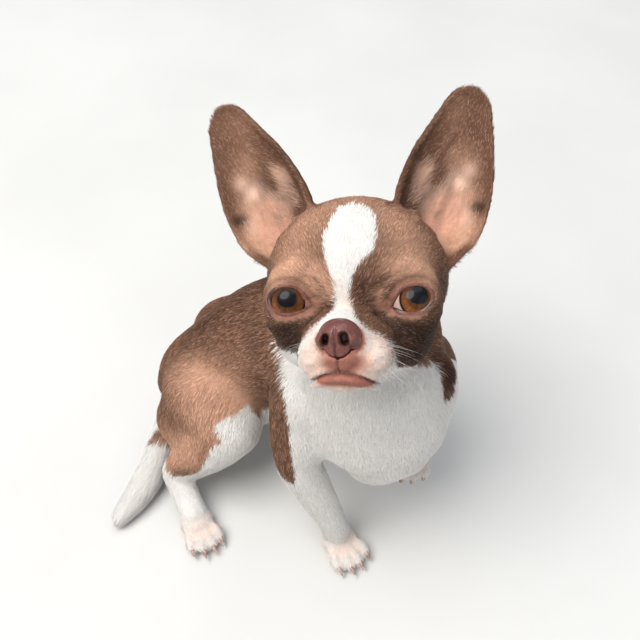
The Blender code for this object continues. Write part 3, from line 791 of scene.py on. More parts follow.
HIDES: Dict[str, Hide] = {
    # Depth, length and width in mm, lift in degrees, tufts a square mm, softening of the solid.
    "head": Hide(0.45, 3.1, 0.15, 10, 5.5, 0.25),
    "jaw": Hide(0.35, 2.6, 0.15, 12, 6.0, 0.25),
    "ear": Hide(0.15, 2.2, 0.14, 7, 4.2, 0.22),
    "neck": Hide(1.0, 4.4, 0.23, 7, 3.4, 1.0),
    "chest": Hide(1.0, 4.8, 0.24, 7, 3.4, 1.0),
    "belly": Hide(0.9, 4.8, 0.25, 8, 2.5, 1.0),
    "rump": Hide(0.9, 4.5, 0.24, 8, 3.1, 1.0),
    "tail": Hide(0.9, 5.5, 0.25, 10, 3.4, 0.5),
    "thigh": Hide(0.8, 4.2, 0.23, 8, 3.3, 0.9),
    "upper": Hide(0.8, 4.2, 0.23, 8, 3.2, 0.8),
    "shin": Hide(0.6, 3.8, 0.22, 9, 3.6, 0.6),
    "forearm": Hide(0.6, 3.6, 0.22, 9, 3.8, 0.5),
    "foot": Hide(0.4, 2.6, 0.20, 10, 4.2, 0.3),
    "forepaw": Hide(0.4, 2.6, 0.20, 10, 4.4, 0.25),
}


def hide_of(node: str) -> Hide:
    """The coat that grows on a node."""
    return HIDES[node.split("_")[0]]


@dataclass(frozen=True)
class Fold:
    """A soft ridge, or a furrow where its height is below zero: its line, and its width in mm."""

    line: Rows
    width: float
    height: float


FOLDS: Tuple[Fold, ...] = (
    # Of the face, in the head's frame, x outwards.
    Fold(((0.0078, -0.011, -0.0022), (0.0110, -0.010, -0.0042), (0.0138, -0.011, -0.0072),
          (0.0168, -0.010, -0.0104)), 1.1, -0.75),
    Fold(((0.0150, -0.009, -0.0100), (0.0205, -0.010, -0.0118), (0.0265, -0.009, -0.0112)), 1.2, -0.35),
    Fold(((0.0185, -0.010, -0.0145), (0.0175, -0.013, -0.0200), (0.0165, -0.012, -0.0262)), 2.2, -0.45),
    Fold(((0.0080, -0.012, 0.0015), (0.0095, -0.012, 0.0050), (0.0122, -0.011, 0.0085)), 1.1, -0.6),
    Fold(((0.0265, -0.008, 0.0125), (0.0200, -0.011, 0.0130), (0.0140, -0.013, 0.0100),
          (0.0106, -0.0135, 0.0055)), 2.3, 0.7),
    Fold(((0.0150, -0.010, -0.0010), (0.0120, -0.011, 0.0006), (0.0098, -0.012, 0.0004)), 0.8, -0.45),
    Fold(((0.0165, -0.011, 0.0085), (0.0134, -0.0125, 0.0058), (0.0112, -0.0125, 0.0026)), 0.8, -0.5),
    Fold(((0.0072, -0.013, 0.0085), (0.0066, -0.013, 0.0045), (0.0062, -0.0125, 0.0010)), 0.9, -0.4),
    Fold(((0.0240, -0.010, -0.0100), (0.0190, -0.010, -0.0108), (0.0150, -0.011, -0.0085)), 0.8, -0.4),
)
RIDGES: Tuple[Fold, ...] = (
    # Of an ear's cup: across it and along it, in mm in its own frame.
    Fold(((-9, -4), (-8.5, 10), (-6.5, 24), (-2.5, 38)), 1.6, 0.7),
    Fold(((1.5, -4), (2.5, 10), (3.0, 22)), 1.5, 0.55),
    Fold(((9.5, -3), (10.5, 8), (9.5, 18)), 1.5, 0.6),
    Fold(((-4, -6), (-3, 8), (0, 26)), 2.0, -0.5),
    Fold(((6, -6), (6.5, 8), (6, 22)), 2.0, -0.5),
)


@dataclass
class Skin:
    """The skin of the whole dog, in one piece, with the folds of its face and ears."""

    build: Build
    markings: Markings
    voxel: float = 0.00098
    growth: float = 0.00025
    fields: Fields = field(default_factory=dict)
    thing: Optional[Thing] = None

    def gather(self) -> Lump:
        """Joins the flesh, grown until the gaps between its solids close, and fills the sockets.

        Returns:
            The joined surfaces.
        """
        lump = bmesh.new()
        for name in FLESH:
            part = bmesh.new()
            part.from_mesh(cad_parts[name].data)
            bmesh.ops.remove_doubles(part, verts=part.verts, dist=1e-5)
            bmesh.ops.recalc_face_normals(part, faces=part.faces)
            part.normal_update()
            for vertex in part.verts:
                vertex.co += vertex.normal * self.growth
            grown = bpy.data.meshes.new(name + "_grown")
            part.to_mesh(grown)
            part.free()
            lump.from_mesh(grown)
            bpy.data.meshes.remove(grown)
        for side in Side:
            centre = self.build.head().outwards(self.build.eye_centre(side))
            place = Matrix.Translation(centre)
            radius = self.build.eye_radius + 0.0004
            bmesh.ops.create_icosphere(lump, subdivisions=4, radius=radius, matrix=place)
        return lump

    @staticmethod
    def keep_outside(work: Lump) -> None:
        """Drops every closed surface but the outer one, which holds the highest vertex.

        Args:
            work: The mesh, which is changed.
        """
        start = max(work.verts, key=lambda vertex: vertex.co.z)
        seen, queue = {start}, [start]
        while queue:
            vertex = queue.pop()
            for edge in vertex.link_edges:
                other = edge.other_vert(vertex)
                if other not in seen:
                    seen.add(other)
                    queue.append(other)
        loose = [vertex for vertex in work.verts if vertex not in seen]
        bmesh.ops.delete(work, geom=loose, context="VERTS")

    @staticmethod
    def refine(work: Lump, wanted: Callable[[Array], Array]) -> None:
        """Halves the edges whose two ends are both wanted.

        Args:
            work: The mesh, which is changed.
            wanted: Tells which points are wanted.
        """
        work.verts.index_update()
        points = np.array([vertex.co for vertex in work.verts])
        chosen = wanted(points)
        edges = [edge for edge in work.edges if all(chosen[v.index] for v in edge.verts)]
        bmesh.ops.subdivide_edges(work, edges=edges, cuts=1, use_grid_fill=True)

    def on_face(self, points: Array) -> Array:
        """The front of the face, from the brows to the chin."""
        local = self.build.head().inwards(points) / MM
        return (local[:, 1] < 6) & (np.abs(local[:, 0]) < 38) & (np.abs(local[:, 2] + 10) < 26)

    def on_rims(self, points: Array) -> Array:
        """The places round the lids and along the mouth, which need the finest faces.

        Args:
            points: Points of the model.

        Returns:
            True for each point there.
        """
        local = self.build.head().inwards(points) / MM
        chosen = np.zeros(len(points), bool)
        for side in Side:
            gap = distance_to_path(local[:, ::2], lid_outline(side, 36) / MM, closed=True)
            chosen |= (gap < 3.2) & (local[:, 1] < 0)
        line = local[:, 2] - mouth_height(local[:, 0] * MM) / MM
        chosen |= (np.abs(line) < 3.0) & (np.abs(local[:, 0]) < 17) & (local[:, 1] < -6)
        middle = (np.abs(local[:, 0]) < 3) & (local[:, 2] < -16) & (local[:, 1] < -20)
        return chosen | middle

    def nearest_hides(self, points: Array) -> Dict[str, Array]:
        """The coat's numbers at each point, from the nearest solid.

        Args:
            points: Points of the model.

        Returns:
            The numbers by name.
        """
        places, names = [], []
        for name in FLESH:
            there = mesh_points(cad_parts[name].data)
            places.append(there)
            names += [name] * len(there)
        tree = KDTree(len(names))
        for index, place in enumerate(np.concatenate(places)):
            tree.insert(place, index)
        tree.balance()
        found = [names[tree.find(point)[1]] for point in points]
        keys = ("depth", "length", "width", "lift", "density", "softening")
        table = {name: [getattr(hide_of(name), key) for key in keys] for name in FLESH}
        values = np.array([table[name] for name in found])
        return dict(zip(keys, values.T))

    def lids(self, local: Array) -> Array:
        """Shapes the lids round both eyeballs.

        Args:
            local: The skin's points in the head's frame.

        Returns:
            The moved points.
        """
        radius = self.build.eye_radius
        for side in Side:
            centre = self.build.eye_centre(side)
            near = np.nonzero(
                (np.linalg.norm(local - centre, axis=1) < 0.0185) & (local[:, 1] < 0.0005)
            )[0]
            spot = local[near]
            outline = lid_outline(side)
            gap = distance_to_path(spot[:, ::2], outline, closed=True)
            gap = np.where(inside_outline(spot[:, ::2], outline), -gap, gap) / MM
            away = spot - centre
            reach = np.linalg.norm(away, axis=1)
            upper = smooth_step(spot[:, 2], -0.001, 0.003)
            lid = np.interp(gap, [-0.6, 0.1, 0.6, 1.6, 2.6], [-1.3, -0.6, 0.75, 1.0, 1.0]) * MM
            fold = bell(gap - 3.6, 0.7) * (0.65 * upper + 0.35 * (1 - upper)) * MM
            fine = np.sin(gap * 7.5 + 1.3 * np.sin(spot[:, 0] / MM * 0.9)) * smooth_step(gap, 0.8, 1.6)
            fold += 0.06 * MM * fine * smooth_step(gap, 4.4, 3.0)
            keep = smooth_step(gap, 1.6, 4.2)
            goal = (radius + lid) * (1 - keep) + reach * keep - fold
            local[near] = centre + away * (goal / reach)[:, None]
        return local

    def mouth(self, local: Array, normals: Array) -> Array:
        """Presses the line of the mouth and the groove under the nose, and rounds the lips.

        Args:
            local: The skin's points in the head's frame.
            normals: Its normals there.

        Returns:
            The moved points.
        """
        front = smooth_step(local[:, 1], -0.006, -0.010) * smooth_step(np.abs(local[:, 0]), 0.0165, 0.0145)
        line = (local[:, 2] - mouth_height(local[:, 0])) / MM
        slit = bell(line, 0.45) * 1.25 + bell(line, 1.1) * 0.35
        middle = smooth_step(np.abs(local[:, 0]), 0.0115, 0.0050) * smooth_step(local[:, 1], -0.016, -0.022)
        lip = bell(line + 2.3, 1.7) * (0.25 + 0.75 * middle)
        chin = bell(line + 5.6, 0.8) * 0.35 * middle
        flew = bell(line - 1.6, 1.3) * 0.40
        under = smooth_step(local[:, 2], -0.0175, -0.0195) * smooth_step(line, -0.6, 0.3)
        groove = bell(local[:, 0] + 0.0004, 0.00050) * 0.8 * under * (local[:, 1] < -0.020)
        push = (lip + flew - slit - chin) * front - groove
        return local + normals * (push * MM)[:, None]

    def cheeks(self, local: Array, normals: Array) -> Array:
        """Adds the furrows under and beside the eyes and the swell of the whisker pads.

        Args:
            local: The skin's points in the head's frame.
            normals: Its normals there.

        Returns:
            The moved points.
        """
        push = np.zeros(len(local))
        for side in Side:
            for fold in FOLDS:
                path = curve_through(fold.line, 9) * (side.value, 1, 1)
                gap = distance_to_path(local, path) / (fold.width * MM)
                push += fold.height * np.exp(-gap * gap)
            pad = np.linalg.norm(local - (side.value * 0.0100, -0.026, -0.0205), axis=1) / 0.0055
            push += 0.35 * np.exp(-pad * pad)
            bag = np.linalg.norm(local - (side.value * 0.0230, -0.0095, -0.0078), axis=1) / 0.0045
            push += 0.40 * np.exp(-bag * bag)
        slim = np.linalg.norm(local - (-0.0155, -0.0275, -0.0190), axis=1) / 0.0075
        push -= 2.1 * np.exp(-slim * slim)
        return local + normals * (push * MM)[:, None]

    def ears(self, world: Array, normals: Array) -> Array:
        """Rolls the ears' rims, deepens their hollows and adds the ridges inside them.

        Args:
            world: The skin's points.
            normals: Its normals.

        Returns:
            The moved points.
        """
        push = np.zeros(len(world))
        for side in Side:
            axes = self.build.ear(side)
            local = axes.inwards(world) / MM
            facing = normals @ axes.rows[1]
            across, high = local[:, 0] * side.value, local[:, 2]
            here = (np.abs(across) < 26) & (high > -12) & (high < 62) & (local[:, 1] > -9)
            inner = here * smooth_step(facing, 0.1, -0.35)
            plane = np.stack([across, high], axis=1)
            for ridge in RIDGES:
                gap = distance_to_path(plane, curve_through(ridge.line, 12)) / ridge.width
                push += inner * ridge.height * np.exp(-gap * gap) * smooth_step(high, -10, 0)
        return world + normals * (push * MM)[:, None]

    def shape(self) -> None:
        """Builds the skin and works out what the coat needs to know at each of its vertices."""
        self.thing = fused("skin", self.gather(), self.voxel)
        mesh = self.thing.data
        work = bmesh.new()
        work.from_mesh(mesh)
        self.keep_outside(work)
        self.refine(work, self.on_face)
        work.to_mesh(mesh)
        points, edges = mesh_points(mesh), mesh_edges(mesh)
        hides = self.nearest_hides(points)
        even = np.ones(len(points))
        soft = relax(hides["softening"], edges, 0.5 * even, 24)
        points = relax(points, edges, 0.5 * smooth_step(soft, 0.3, 0.95), 46)
        for _ in range(5):
            points = relax(points, edges, 0.52 * even, 1)
            points = relax(points, edges, -0.50 * even, 1)
        points = relax(points, edges, 0.5 * even, 1)
        set_mesh_points(mesh, points)
        work.clear()
        work.from_mesh(mesh)
        self.refine(work, self.on_rims)
        work.to_mesh(mesh)
        work.free()
        self.sculpt(mesh)
        self.measure(mesh)

    def sculpt(self, mesh: Mesh) -> None:
        """Models the ears and the face, then draws the skin in by the coat's depth.

        Args:
            mesh: The skin's mesh, which is changed.
        """
        edges = mesh_edges(mesh)
        points = self.ears(mesh_points(mesh), mesh_normals(mesh))
        head = self.build.head()
        set_mesh_points(mesh, points)
        hides = self.nearest_hides(points)
        every = 0.5 * np.ones(len(points))
        self.fields = {key: relax(value, edges, every, 60) for key, value in hides.items()}
        local = head.inwards(points)
        near = np.nonzero(np.linalg.norm(local - (0, -0.01, -0.01), axis=1) < 0.05)[0]
        turned = mesh_normals(mesh)[near] @ head.rows.T
        face = self.cheeks(local[near], turned)
        face = self.mouth(face, turned)
        close = smooth_step(np.linalg.norm(face - (0, -0.036, -0.0145), axis=1), 0.0125, 0.0085)
        depth = self.fields["depth"][near] * (1 - 0.9 * close)
        self.fields["depth"][near] = depth
        points[near] = head.outwards(face)
        set_mesh_points(mesh, points)
        points -= mesh_normals(mesh) * (self.fields["depth"] * MM)[:, None]
        local = self.lids(head.inwards(points))
        points = head.outwards(local)
        points[:, 2] = np.maximum(points[:, 2], 0.0004)
        set_mesh_points(mesh, points)
        mesh.shade_smooth()

    def measure(self, mesh: Mesh) -> None:
        """Keeps the markings on the skin and trims the coat's numbers near eyes, nose and mouth.

        Args:
            mesh: The skin's mesh, which gets the numbers.
        """
        points = mesh_points(mesh)
        self.fields.update(self.markings.read(points))
        normals = mesh_normals(mesh)
        for side in Side:
            facing = normals @ self.build.ear(side).rows[1]
            share = self.markings.ear_place(points, side)[1]
            behind = smooth_step(facing, -0.35, 0.05) * smooth_step(share, 0.0, 0.3)
            for name in ("pale", "bare", "tan", "dark", "blush"):
                self.fields[name] = self.fields[name] * (1 - behind)
        head = self.build.head().inwards(points) / MM
        nose = np.linalg.norm(head - NOSE_MIDDLE, axis=1)
        shorten = 0.42 + 0.58 * smooth_step(nose, 10, 38)
        shorten += 0.55 * smooth_step(np.linalg.norm(head - (0.8, -27, -36), axis=1), 7, 3.5)
        for side in Side:
            gap = np.linalg.norm(head - self.build.eye_centre(side) / MM, axis=1)
            shorten = np.minimum(shorten, 0.34 + 0.66 * smooth_step(gap, 11.0, 22))
        inside = np.linalg.norm(head - HEAD_MIDDLE, axis=1) < 70
        self.fields["length"] *= np.where(inside, shorten, 1)
        self.fields["density"] *= 1 + 0.5 * (1 - shorten) * inside
        self.fields["density"] *= 1 - 0.95 * self.fields["bare"] * (1 - 0.6 * self.fields["pale"])
        for name in MARKS:
            add_number(mesh, name, self.fields[name])
        half = np.full(len(points), 0.5)
        add_number(mesh, "shade", half)
        add_number(mesh, "along", half)


@dataclass(frozen=True)
class Stroke:
    """One stroke of a brush: the hair near it lies from its start to its end. Body frame, mm."""

    start: Triple
    end: Triple
    reach: float = 14.0


STROKES: Tuple[Stroke, ...] = tuple(Stroke(row[:3], row[3:6], *row[6:]) for row in (
    # From x, y, z to x, y, z, and the reach where it is not the usual one.
    (18, -6, 138, 25, -20, 108), (26, -20, 106, 30, -25, 74), (30, -24, 72, 30, -6, 50),
    (-14, 6, 130, -19, -2, 100), (-18, -4, 98, -15, -14, 68), (46, 8, 128, 56, 4, 100),
    (56, 8, 98, 58, 14, 76), (40, 40, 130, 62, 40, 100), (12, 62, 142, 6, 80, 118),
    (4, 82, 116, -22, 88, 104), (-24, 88, 102, -52, 88, 80), (-54, 88, 78, -78, 76, 48),
    (-4, 30, 134, -22, 38, 116), (-24, 40, 116, -52, 44, 92), (-54, 44, 90, -76, 44, 62),
    (-20, 12, 104, -42, 22, 84), (-24, 10, 84, -44, 20, 64), (-78, 44, 60, -90, 40, 36),
    (-56, 26, 82, -64, 12, 60), (-64, 12, 58, -62, 2, 38), (-44, 14, 70, -44, 4, 50),
    (-80, 24, 56, -86, 12, 32), (-62, 2, 36, -76, 2, 24), (10, 60, 50, -30, 60, 40),
    (-8, 8, 100, -13, -10, 66, 10), (-12, -10, 64, 6, -20, 20, 10), (6, -20, 18, 13, -30, 4, 8),
    (54, 16, 98, 58, 46, 84, 10), (58, 44, 80, 50, 16, 62, 10), (49, 12, 60, 46, 4, 44, 8),
    (-78, 8, 22, -66, -12, 8, 9), (-66, -13, 7, -60, -24, 3, 8), (-72, 62, 30, -90, 32, 12, 9),
    (-90, 31, 12, -109, -8, 5, 9), (-40, 100, 60, 0, 108, 54), (0, 100, 50, -34, 112, 22),
    (-30, 114, 12, 10, 114, 6, 9), (34, 76, 120, 20, 86, 90), (20, 84, 88, -10, 90, 70),
))


@dataclass(frozen=True)
class Lie:
    """Which way the hair lies on the skin."""

    build: Build
    markings: Markings

    def on_body(self, world: Array) -> Array:
        """The lie on the trunk and limbs, from the strokes near each point.

        Args:
            world: Points of the model.

        Returns:
            Directions of any length.
        """
        local = self.build.body().inwards(world) / MM
        total = np.zeros_like(local)
        for stroke in STROKES:
            start, end = np.array(stroke.start, float), np.array(stroke.end, float)
            gap = distance_to_path(local, np.stack([start, end])) / stroke.reach
            way = (end - start) / np.linalg.norm(end - start)
            total += way * (1 / (0.05 + gap**4))[:, None]
        return total

    def on_head(self, world: Array) -> Array:
        """The lie on the head: away from the nose, and down over the cheeks and the nape.

        Args:
            world: Points of the model.

        Returns:
            Directions of any length.
        """
        axes = self.build.head()
        local = axes.inwards(world) / MM
        way = unit(local - (0, -40, -11))
        way += (0, 0, -0.55) * smooth_step(local[:, 1], 6, 26)[:, None]
        throat = smooth_step(local[:, 2], -14, -30)[:, None]
        way = way * (1 - 0.75 * throat) + np.array((0, 0.55, -1.0)) * throat
        crown = smooth_step(local[:, 2], 18, 34)[:, None] * smooth_step(local[:, 1], 30, 6)[:, None]
        way = way * (1 - crown) + np.array((0, 0.9, 0.35)) * crown
        return axes.turned(way)

    def on_ear(self, world: Array, side: Side, normals: Array) -> Tuple[Array, Array]:
        """The lie on one ear and how much of each place belongs to it.

        Args:
            world: Points of the model.
            side: Which ear.
            normals: The skin's normals there.

        Returns:
            Directions of any length, and the shares.
        """
        axes = self.build.ear(side)
        local = axes.inwards(world) / MM
        inner = smooth_step(normals @ axes.rows[1], 0.1, -0.3)
        across = local[:, 0] * side.value
        share = smooth_step(local[:, 2], -6, 6) * (np.abs(across) < 30) * smooth_step(
            np.abs(local[:, 1] - 8), 26, 20
        )
        fan = np.clip((across + 4) / 14, -1, 1) * side.value
        lean = side.value * 0.75 * inner * smooth_step(across, 6, -12)
        way = np.stack([0.35 * fan * (1 - inner) + lean, -0.10 * inner, np.ones(len(local))], axis=1)
        return axes.turned(way), share

    def read(self, world: Array, normals: Array) -> Array:
        """The direction of the hair at points of the skin, along the skin.

        Args:
            world: Points of the skin.
            normals: Its normals there.

        Returns:
            Unit directions.
        """
        head = self.markings.on_head(world)[:, None]
        way = unit(self.on_body(world)) * (1 - head) + unit(self.on_head(world)) * head
        for side in Side:
            over, share = self.on_ear(world, side, normals)
            way = way * (1 - share[:, None]) + unit(over) * share[:, None]
        way -= normals * np.sum(way * normals, axis=1, keepdims=True)
        return unit(way)


@dataclass
class Unwrap:
    """A plain unwrap of the skin's shape, which tells each tuft where its colour is baked."""

    faces: int = 9000
    tree: Optional[BVHTree] = None
    corners: Array = field(default_factory=lambda: np.zeros((0, 3, 3)))
    places: Array = field(default_factory=lambda: np.zeros((0, 3, 2)))

    def lay_out(self, skin: Thing) -> None:
        """Unwraps a light copy of the skin.

        Args:
            skin: The finished skin.
        """
        copy = placed("unwrap", skin.data.copy())
        step = copy.modifiers.new("reduce", "DECIMATE")
        step.ratio = self.faces / max(len(mesh_triangles(copy.data)), 1)
        bake_modifiers(copy)
        sides = copy.modifiers.new("triangles", "TRIANGULATE")
        sides.quad_method = "FIXED"
        bake_modifiers(copy)
        bpy.context.view_layer.objects.active = copy
        copy.select_set(True)
        bpy.ops.object.mode_set(mode="EDIT")
        bpy.ops.mesh.select_all(action="SELECT")
        bpy.ops.uv.smart_project(angle_limit=math.radians(60), island_margin=0.004)
        bpy.ops.object.mode_set(mode="OBJECT")
        mesh = copy.data
        self.places = pulled(mesh.uv_layers.active.data, "uv", 2).reshape(-1, 3, 2).astype(float)
        points = mesh_points(mesh)
        order = pulled(mesh.loops, "vertex_index", 1, np.int32).ravel()
        self.corners = points[order].reshape(-1, 3, 3)
        triangles = order.reshape(-1, 3).tolist()
        self.tree = BVHTree.FromPolygons(points.tolist(), triangles)
        bpy.data.objects.remove(copy)

    def read(self, points: Array) -> Array:
        """Where points of the skin lie on the unwrap, as rows u, v.

        Args:
            points: Points of the skin.

        Returns:
            The rows.
        """
        found = [self.tree.find_nearest(point) for point in points.tolist()]
        face = np.array([hit[2] for hit in found])
        spot = np.array([hit[0] for hit in found])
        a, b, c = (self.corners[face, k] for k in range(3))
        across, down, there = b - a, c - a, spot - a
        d00, d01, d11 = (across * across).sum(1), (across * down).sum(1), (down * down).sum(1)
        d20, d21 = (there * across).sum(1), (there * down).sum(1)
        whole = np.maximum(d00 * d11 - d01 * d01, 1e-20)
        v, w = (d11 * d20 - d01 * d21) / whole, (d00 * d21 - d01 * d20) / whole
        weights = np.clip(np.stack([1 - v - w, v, w], axis=1), 0, 1)
        weights /= weights.sum(axis=1, keepdims=True)
        return np.einsum("nk,nkd->nd", weights, self.places[face])


@dataclass(frozen=True)
class Layer:
    """One piece of the coat: where it grows, how many tufts it has and how they differ."""

    name: str
    tufts: int
    where: Callable[["Coat"], Array]
    slot: str
    pale: float = 0.0
    longer: float = 1.0
    wider: float = 1.0
    rise: float = 1.0
    sway: float = 0.13


@dataclass
class Coat:
    """The short coat, as thin keeled tufts rooted all over the skin."""

    skin: Skin
    lie: Lie
    unwrap: Unwrap
    seed: int = 7
    points: Array = field(default_factory=lambda: np.zeros((0, 3)))
    normals: Array = field(default_factory=lambda: np.zeros((0, 3)))
    ways: Array = field(default_factory=lambda: np.zeros((0, 3)))
    triangles: Array = field(default_factory=lambda: np.zeros((0, 3), int))
    areas: Array = field(default_factory=lambda: np.zeros(0))

    def prepare(self) -> None:
        """Reads the skin's points, normals, faces and the lie of the hair on it."""
        mesh = self.skin.thing.data
        self.points, self.normals = mesh_points(mesh), mesh_normals(mesh)
        self.triangles = mesh_triangles(mesh)
        self.ways = self.lie.read(self.points, self.normals)
        a, b, c = (self.points[self.triangles[:, k]] for k in range(3))
        self.areas = np.linalg.norm(np.cross(b - a, c - a), axis=1) / 2

    def in_head(self) -> Array:
        """The skin's points in the head's frame, in mm."""
        return self.skin.build.head().inwards(self.points) / MM

    def in_body(self) -> Array:
        """The skin's points in the body's frame, in mm."""
        return self.skin.build.body().inwards(self.points) / MM

    def over_ears(self) -> Array:
        """How much each vertex belongs to an ear.

        Returns:
            Shares from 0 to 1.
        """
        share = np.zeros(len(self.points))
        for side in Side:
            share = np.maximum(share, self.lie.on_ear(self.points, side, self.normals)[1])
        return share

    def over_head(self) -> Array:
        """How much each vertex belongs to the head without its ears."""
        return self.skin.markings.on_head(self.points) * (1 - self.over_ears())

    def roots(self, layer: Layer, rng: np.random.Generator) -> Tuple[Array, Array]:
        """Picks the triangles that a layer's tufts grow from, and where in each.

        Args:
            layer: The piece of the coat.
            rng: The source of chance.

        Returns:
            Triangle numbers, and rows of three weights of their corners.
        """
        wanted = layer.where(self) * self.skin.fields["density"]
        share = self.areas * wanted[self.triangles].mean(axis=1)
        total = np.cumsum(share)
        pick = np.searchsorted(total, rng.random(layer.tufts) * total[-1])
        r, s = np.sqrt(rng.random(layer.tufts)), rng.random(layer.tufts)
        return pick, np.stack([1 - r, r * (1 - s), r * s], axis=1)

    def grow(self, layer: Layer, finish: Material) -> Thing:
        """Makes one piece of the coat.

        Args:
            layer: Where and how it grows.
            finish: Its material.

        Returns:
            The new object.
        """
        rng = np.random.default_rng(self.seed + sum(map(ord, layer.name)))
        pick, weights = self.roots(layer, rng)
        corner = self.triangles[pick]

        def at(values: Array) -> Array:
            """The skin's values at the roots.

            Args:
                values: One row or one number a vertex.

            Returns:
                One a root.
            """
            if values.ndim == 1:
                return (values[corner] * weights).sum(axis=1)
            return np.einsum("nk,nkd->nd", weights, values[corner])

        count, fields = layer.tufts, self.skin.fields
        root, normal, way = at(self.points), unit(at(self.normals)), unit(at(self.ways))
        wave = np.sin(root @ np.array((410.0, 530.0, 290.0)))
        wave = wave + np.sin(root @ np.array((-690.0, 310.0, 830.0)))
        turn = layer.sway * (rng.normal(size=count) + 0.55 * wave)
        side = np.cross(normal, way)
        way = unit(way * np.cos(turn)[:, None] + side * np.sin(turn)[:, None])
        side = unit(np.cross(normal, way))
        length = at(fields["length"]) * MM * layer.longer * rng.uniform(0.65, 1.25, count)
        width = at(fields["width"]) * MM * layer.wider * rng.uniform(0.75, 1.25, count)
        lift = np.radians(at(fields["lift"]) * layer.rise * rng.uniform(0.35, 1.5, count))
        tip_lift = lift * rng.uniform(0.15, 0.75, count)
        steps = (
            root - normal * 0.00015,
            root + (way * np.cos(lift)[:, None] + normal * np.sin(lift)[:, None]) * (0.45 * length)[:, None],
            root + (way * np.cos(tip_lift)[:, None] + normal * np.sin(tip_lift)[:, None]) * length[:, None],
        )
        half = (side * width[:, None]) / 2
        keel = steps[1] + normal * (0.28 * width)[:, None]
        corners = np.stack([steps[0], steps[1] - half, keel, steps[1] + half, steps[2]], axis=1)
        corners[:, :, 2] = np.maximum(corners[:, :, 2], 0.0002)
        made = self.weave(layer.name, corners, self.unwrap.read(root))
        numbers = {name: at(fields[name]) for name in MARKS}
        numbers["white"] = (numbers["white"] > rng.uniform(0.15, 0.85, count)).astype(float)
        if layer.pale:
            numbers["pale"], numbers["bare"] = np.full(count, layer.pale), np.zeros(count)
        numbers["shade"] = rng.random(count)
        for name, values in numbers.items():
            add_number(made.data, name, np.repeat(values, 5))
        add_number(made.data, "along", np.tile((0.0, 0.5, 0.5, 0.5, 1.0), count))
        made.data.materials.append(finish)
        return made

    def weave(self, name: str, corners: Array, places: Array) -> Thing:
        """Turns tufts into one mesh, each with its patch on the map for baking.

        Args:
            name: The object's name.
            corners: Five points a tuft: root, left, keel, right and tip.
            places: Where each root lies on the unwrap.

        Returns:
            The new object.
        """
        count = len(corners)
        pattern = np.array([(0, 2, 1), (0, 3, 2), (1, 2, 4), (2, 3, 4)])
        order = (pattern.reshape(1, -1) + 5 * np.arange(count)[:, None]).ravel()
        mesh = bpy.data.meshes.new(name)
        mesh.vertices.add(5 * count)
        mesh.vertices.foreach_set("co", corners.astype(np.float32).ravel())
        mesh.loops.add(12 * count)
        mesh.loops.foreach_set("vertex_index", order.astype(np.int32))
        mesh.polygons.add(4 * count)
        mesh.polygons.foreach_set("loop_start", np.arange(0, 12 * count, 3, dtype=np.int32))
        mesh.update(calc_edges=True)
        mesh.validate()
        mesh.shade_smooth()
        spread = 0.0015 * np.array([(0, -1), (-1, 0), (0, 0), (1, 0), (0, 1)], float)
        patch = np.clip(places[:, None, :] + spread[None], 0, 1).reshape(-1, 2)
        layer = mesh.uv_layers.new(name="OFBake")
        layer.data.foreach_set("uv", patch[order].astype(np.float32).ravel())
        return placed(name, mesh)

    def layers(self) -> List[Layer]:
        """The pieces of the coat.

        Returns:
            The pieces, in the order they are made.
        """

        def part(low: float, high: float) -> Callable[["Coat"], Array]:
            """The trunk and limbs between two heights, in mm.

            Args:
                low: The lower height.
                high: The upper height.

            Returns:
                What tells how much each vertex belongs to it.
            """

            def share(coat: "Coat") -> Array:
                """How much each vertex belongs to this part.

                Args:
                    coat: The coat.

                Returns:
                    Shares from 0 to 1.
                """
                tall = coat.in_body()[:, 2]
                rest = 1 - np.maximum(coat.skin.markings.on_head(coat.points), coat.over_ears())
                return rest * smooth_step(tall, low - 2, low + 2) * smooth_step(tall, high + 2, high - 2)

            return share

        def face(coat: "Coat") -> Array:
            """The front of the head."""
            return coat.over_head() * smooth_step(coat.in_head()[:, 1], 16, 12)

        def nape(coat: "Coat") -> Array:
            """The back of the head."""
            return coat.over_head() * smooth_step(coat.in_head()[:, 1], 12, 16)

        def fringe(coat: "Coat") -> Array:
            """The inner edges and the floors of the ears' cups.

            Args:
                coat: The coat.

            Returns:
                Shares, evened out by how dense the hair is.
            """
            total = np.zeros(len(coat.points))
            for side in Side:
                ear, share = coat.skin.markings.ear_place(coat.points, side)
                edge = np.linalg.norm((ear[:, ::2] - (-10.0, 14.0)) / (3.4, 11.0), axis=1)
                floor = np.linalg.norm((ear[:, ::2] - (2.0, 8.0)) / (9.0, 9.0), axis=1)
                total += share * (smooth_step(edge, 1.2, 0.6) + 0.30 * smooth_step(floor, 1.1, 0.7))
            return total / np.maximum(coat.skin.fields["density"], 0.3)

        return [
            Layer("coat_face", 49500, face, "brown_coat"),
            Layer("coat_nape", 34000, nape, "brown_coat", longer=1.15),
            Layer("coat_ear_fringe", 2200, fringe, "white_coat", 0.55, 2.6, 0.62, 1.5, 0.16),
            Layer("coat_ears", 41000, Coat.over_ears, "brown_coat"),
            Layer("coat_withers", 48500, part(122, 400), "brown_coat"),
            Layer("coat_shoulders", 48500, part(96, 122), "brown_coat"),
            Layer("coat_flanks", 48500, part(66, 96), "brown_coat"),
            Layer("coat_haunches", 48500, part(38, 66), "brown_coat"),
            Layer("coat_legs", 43000, part(-10, 38), "white_coat"),
        ]


Feed = Union["Value", Socket, float, Sequence[float]]


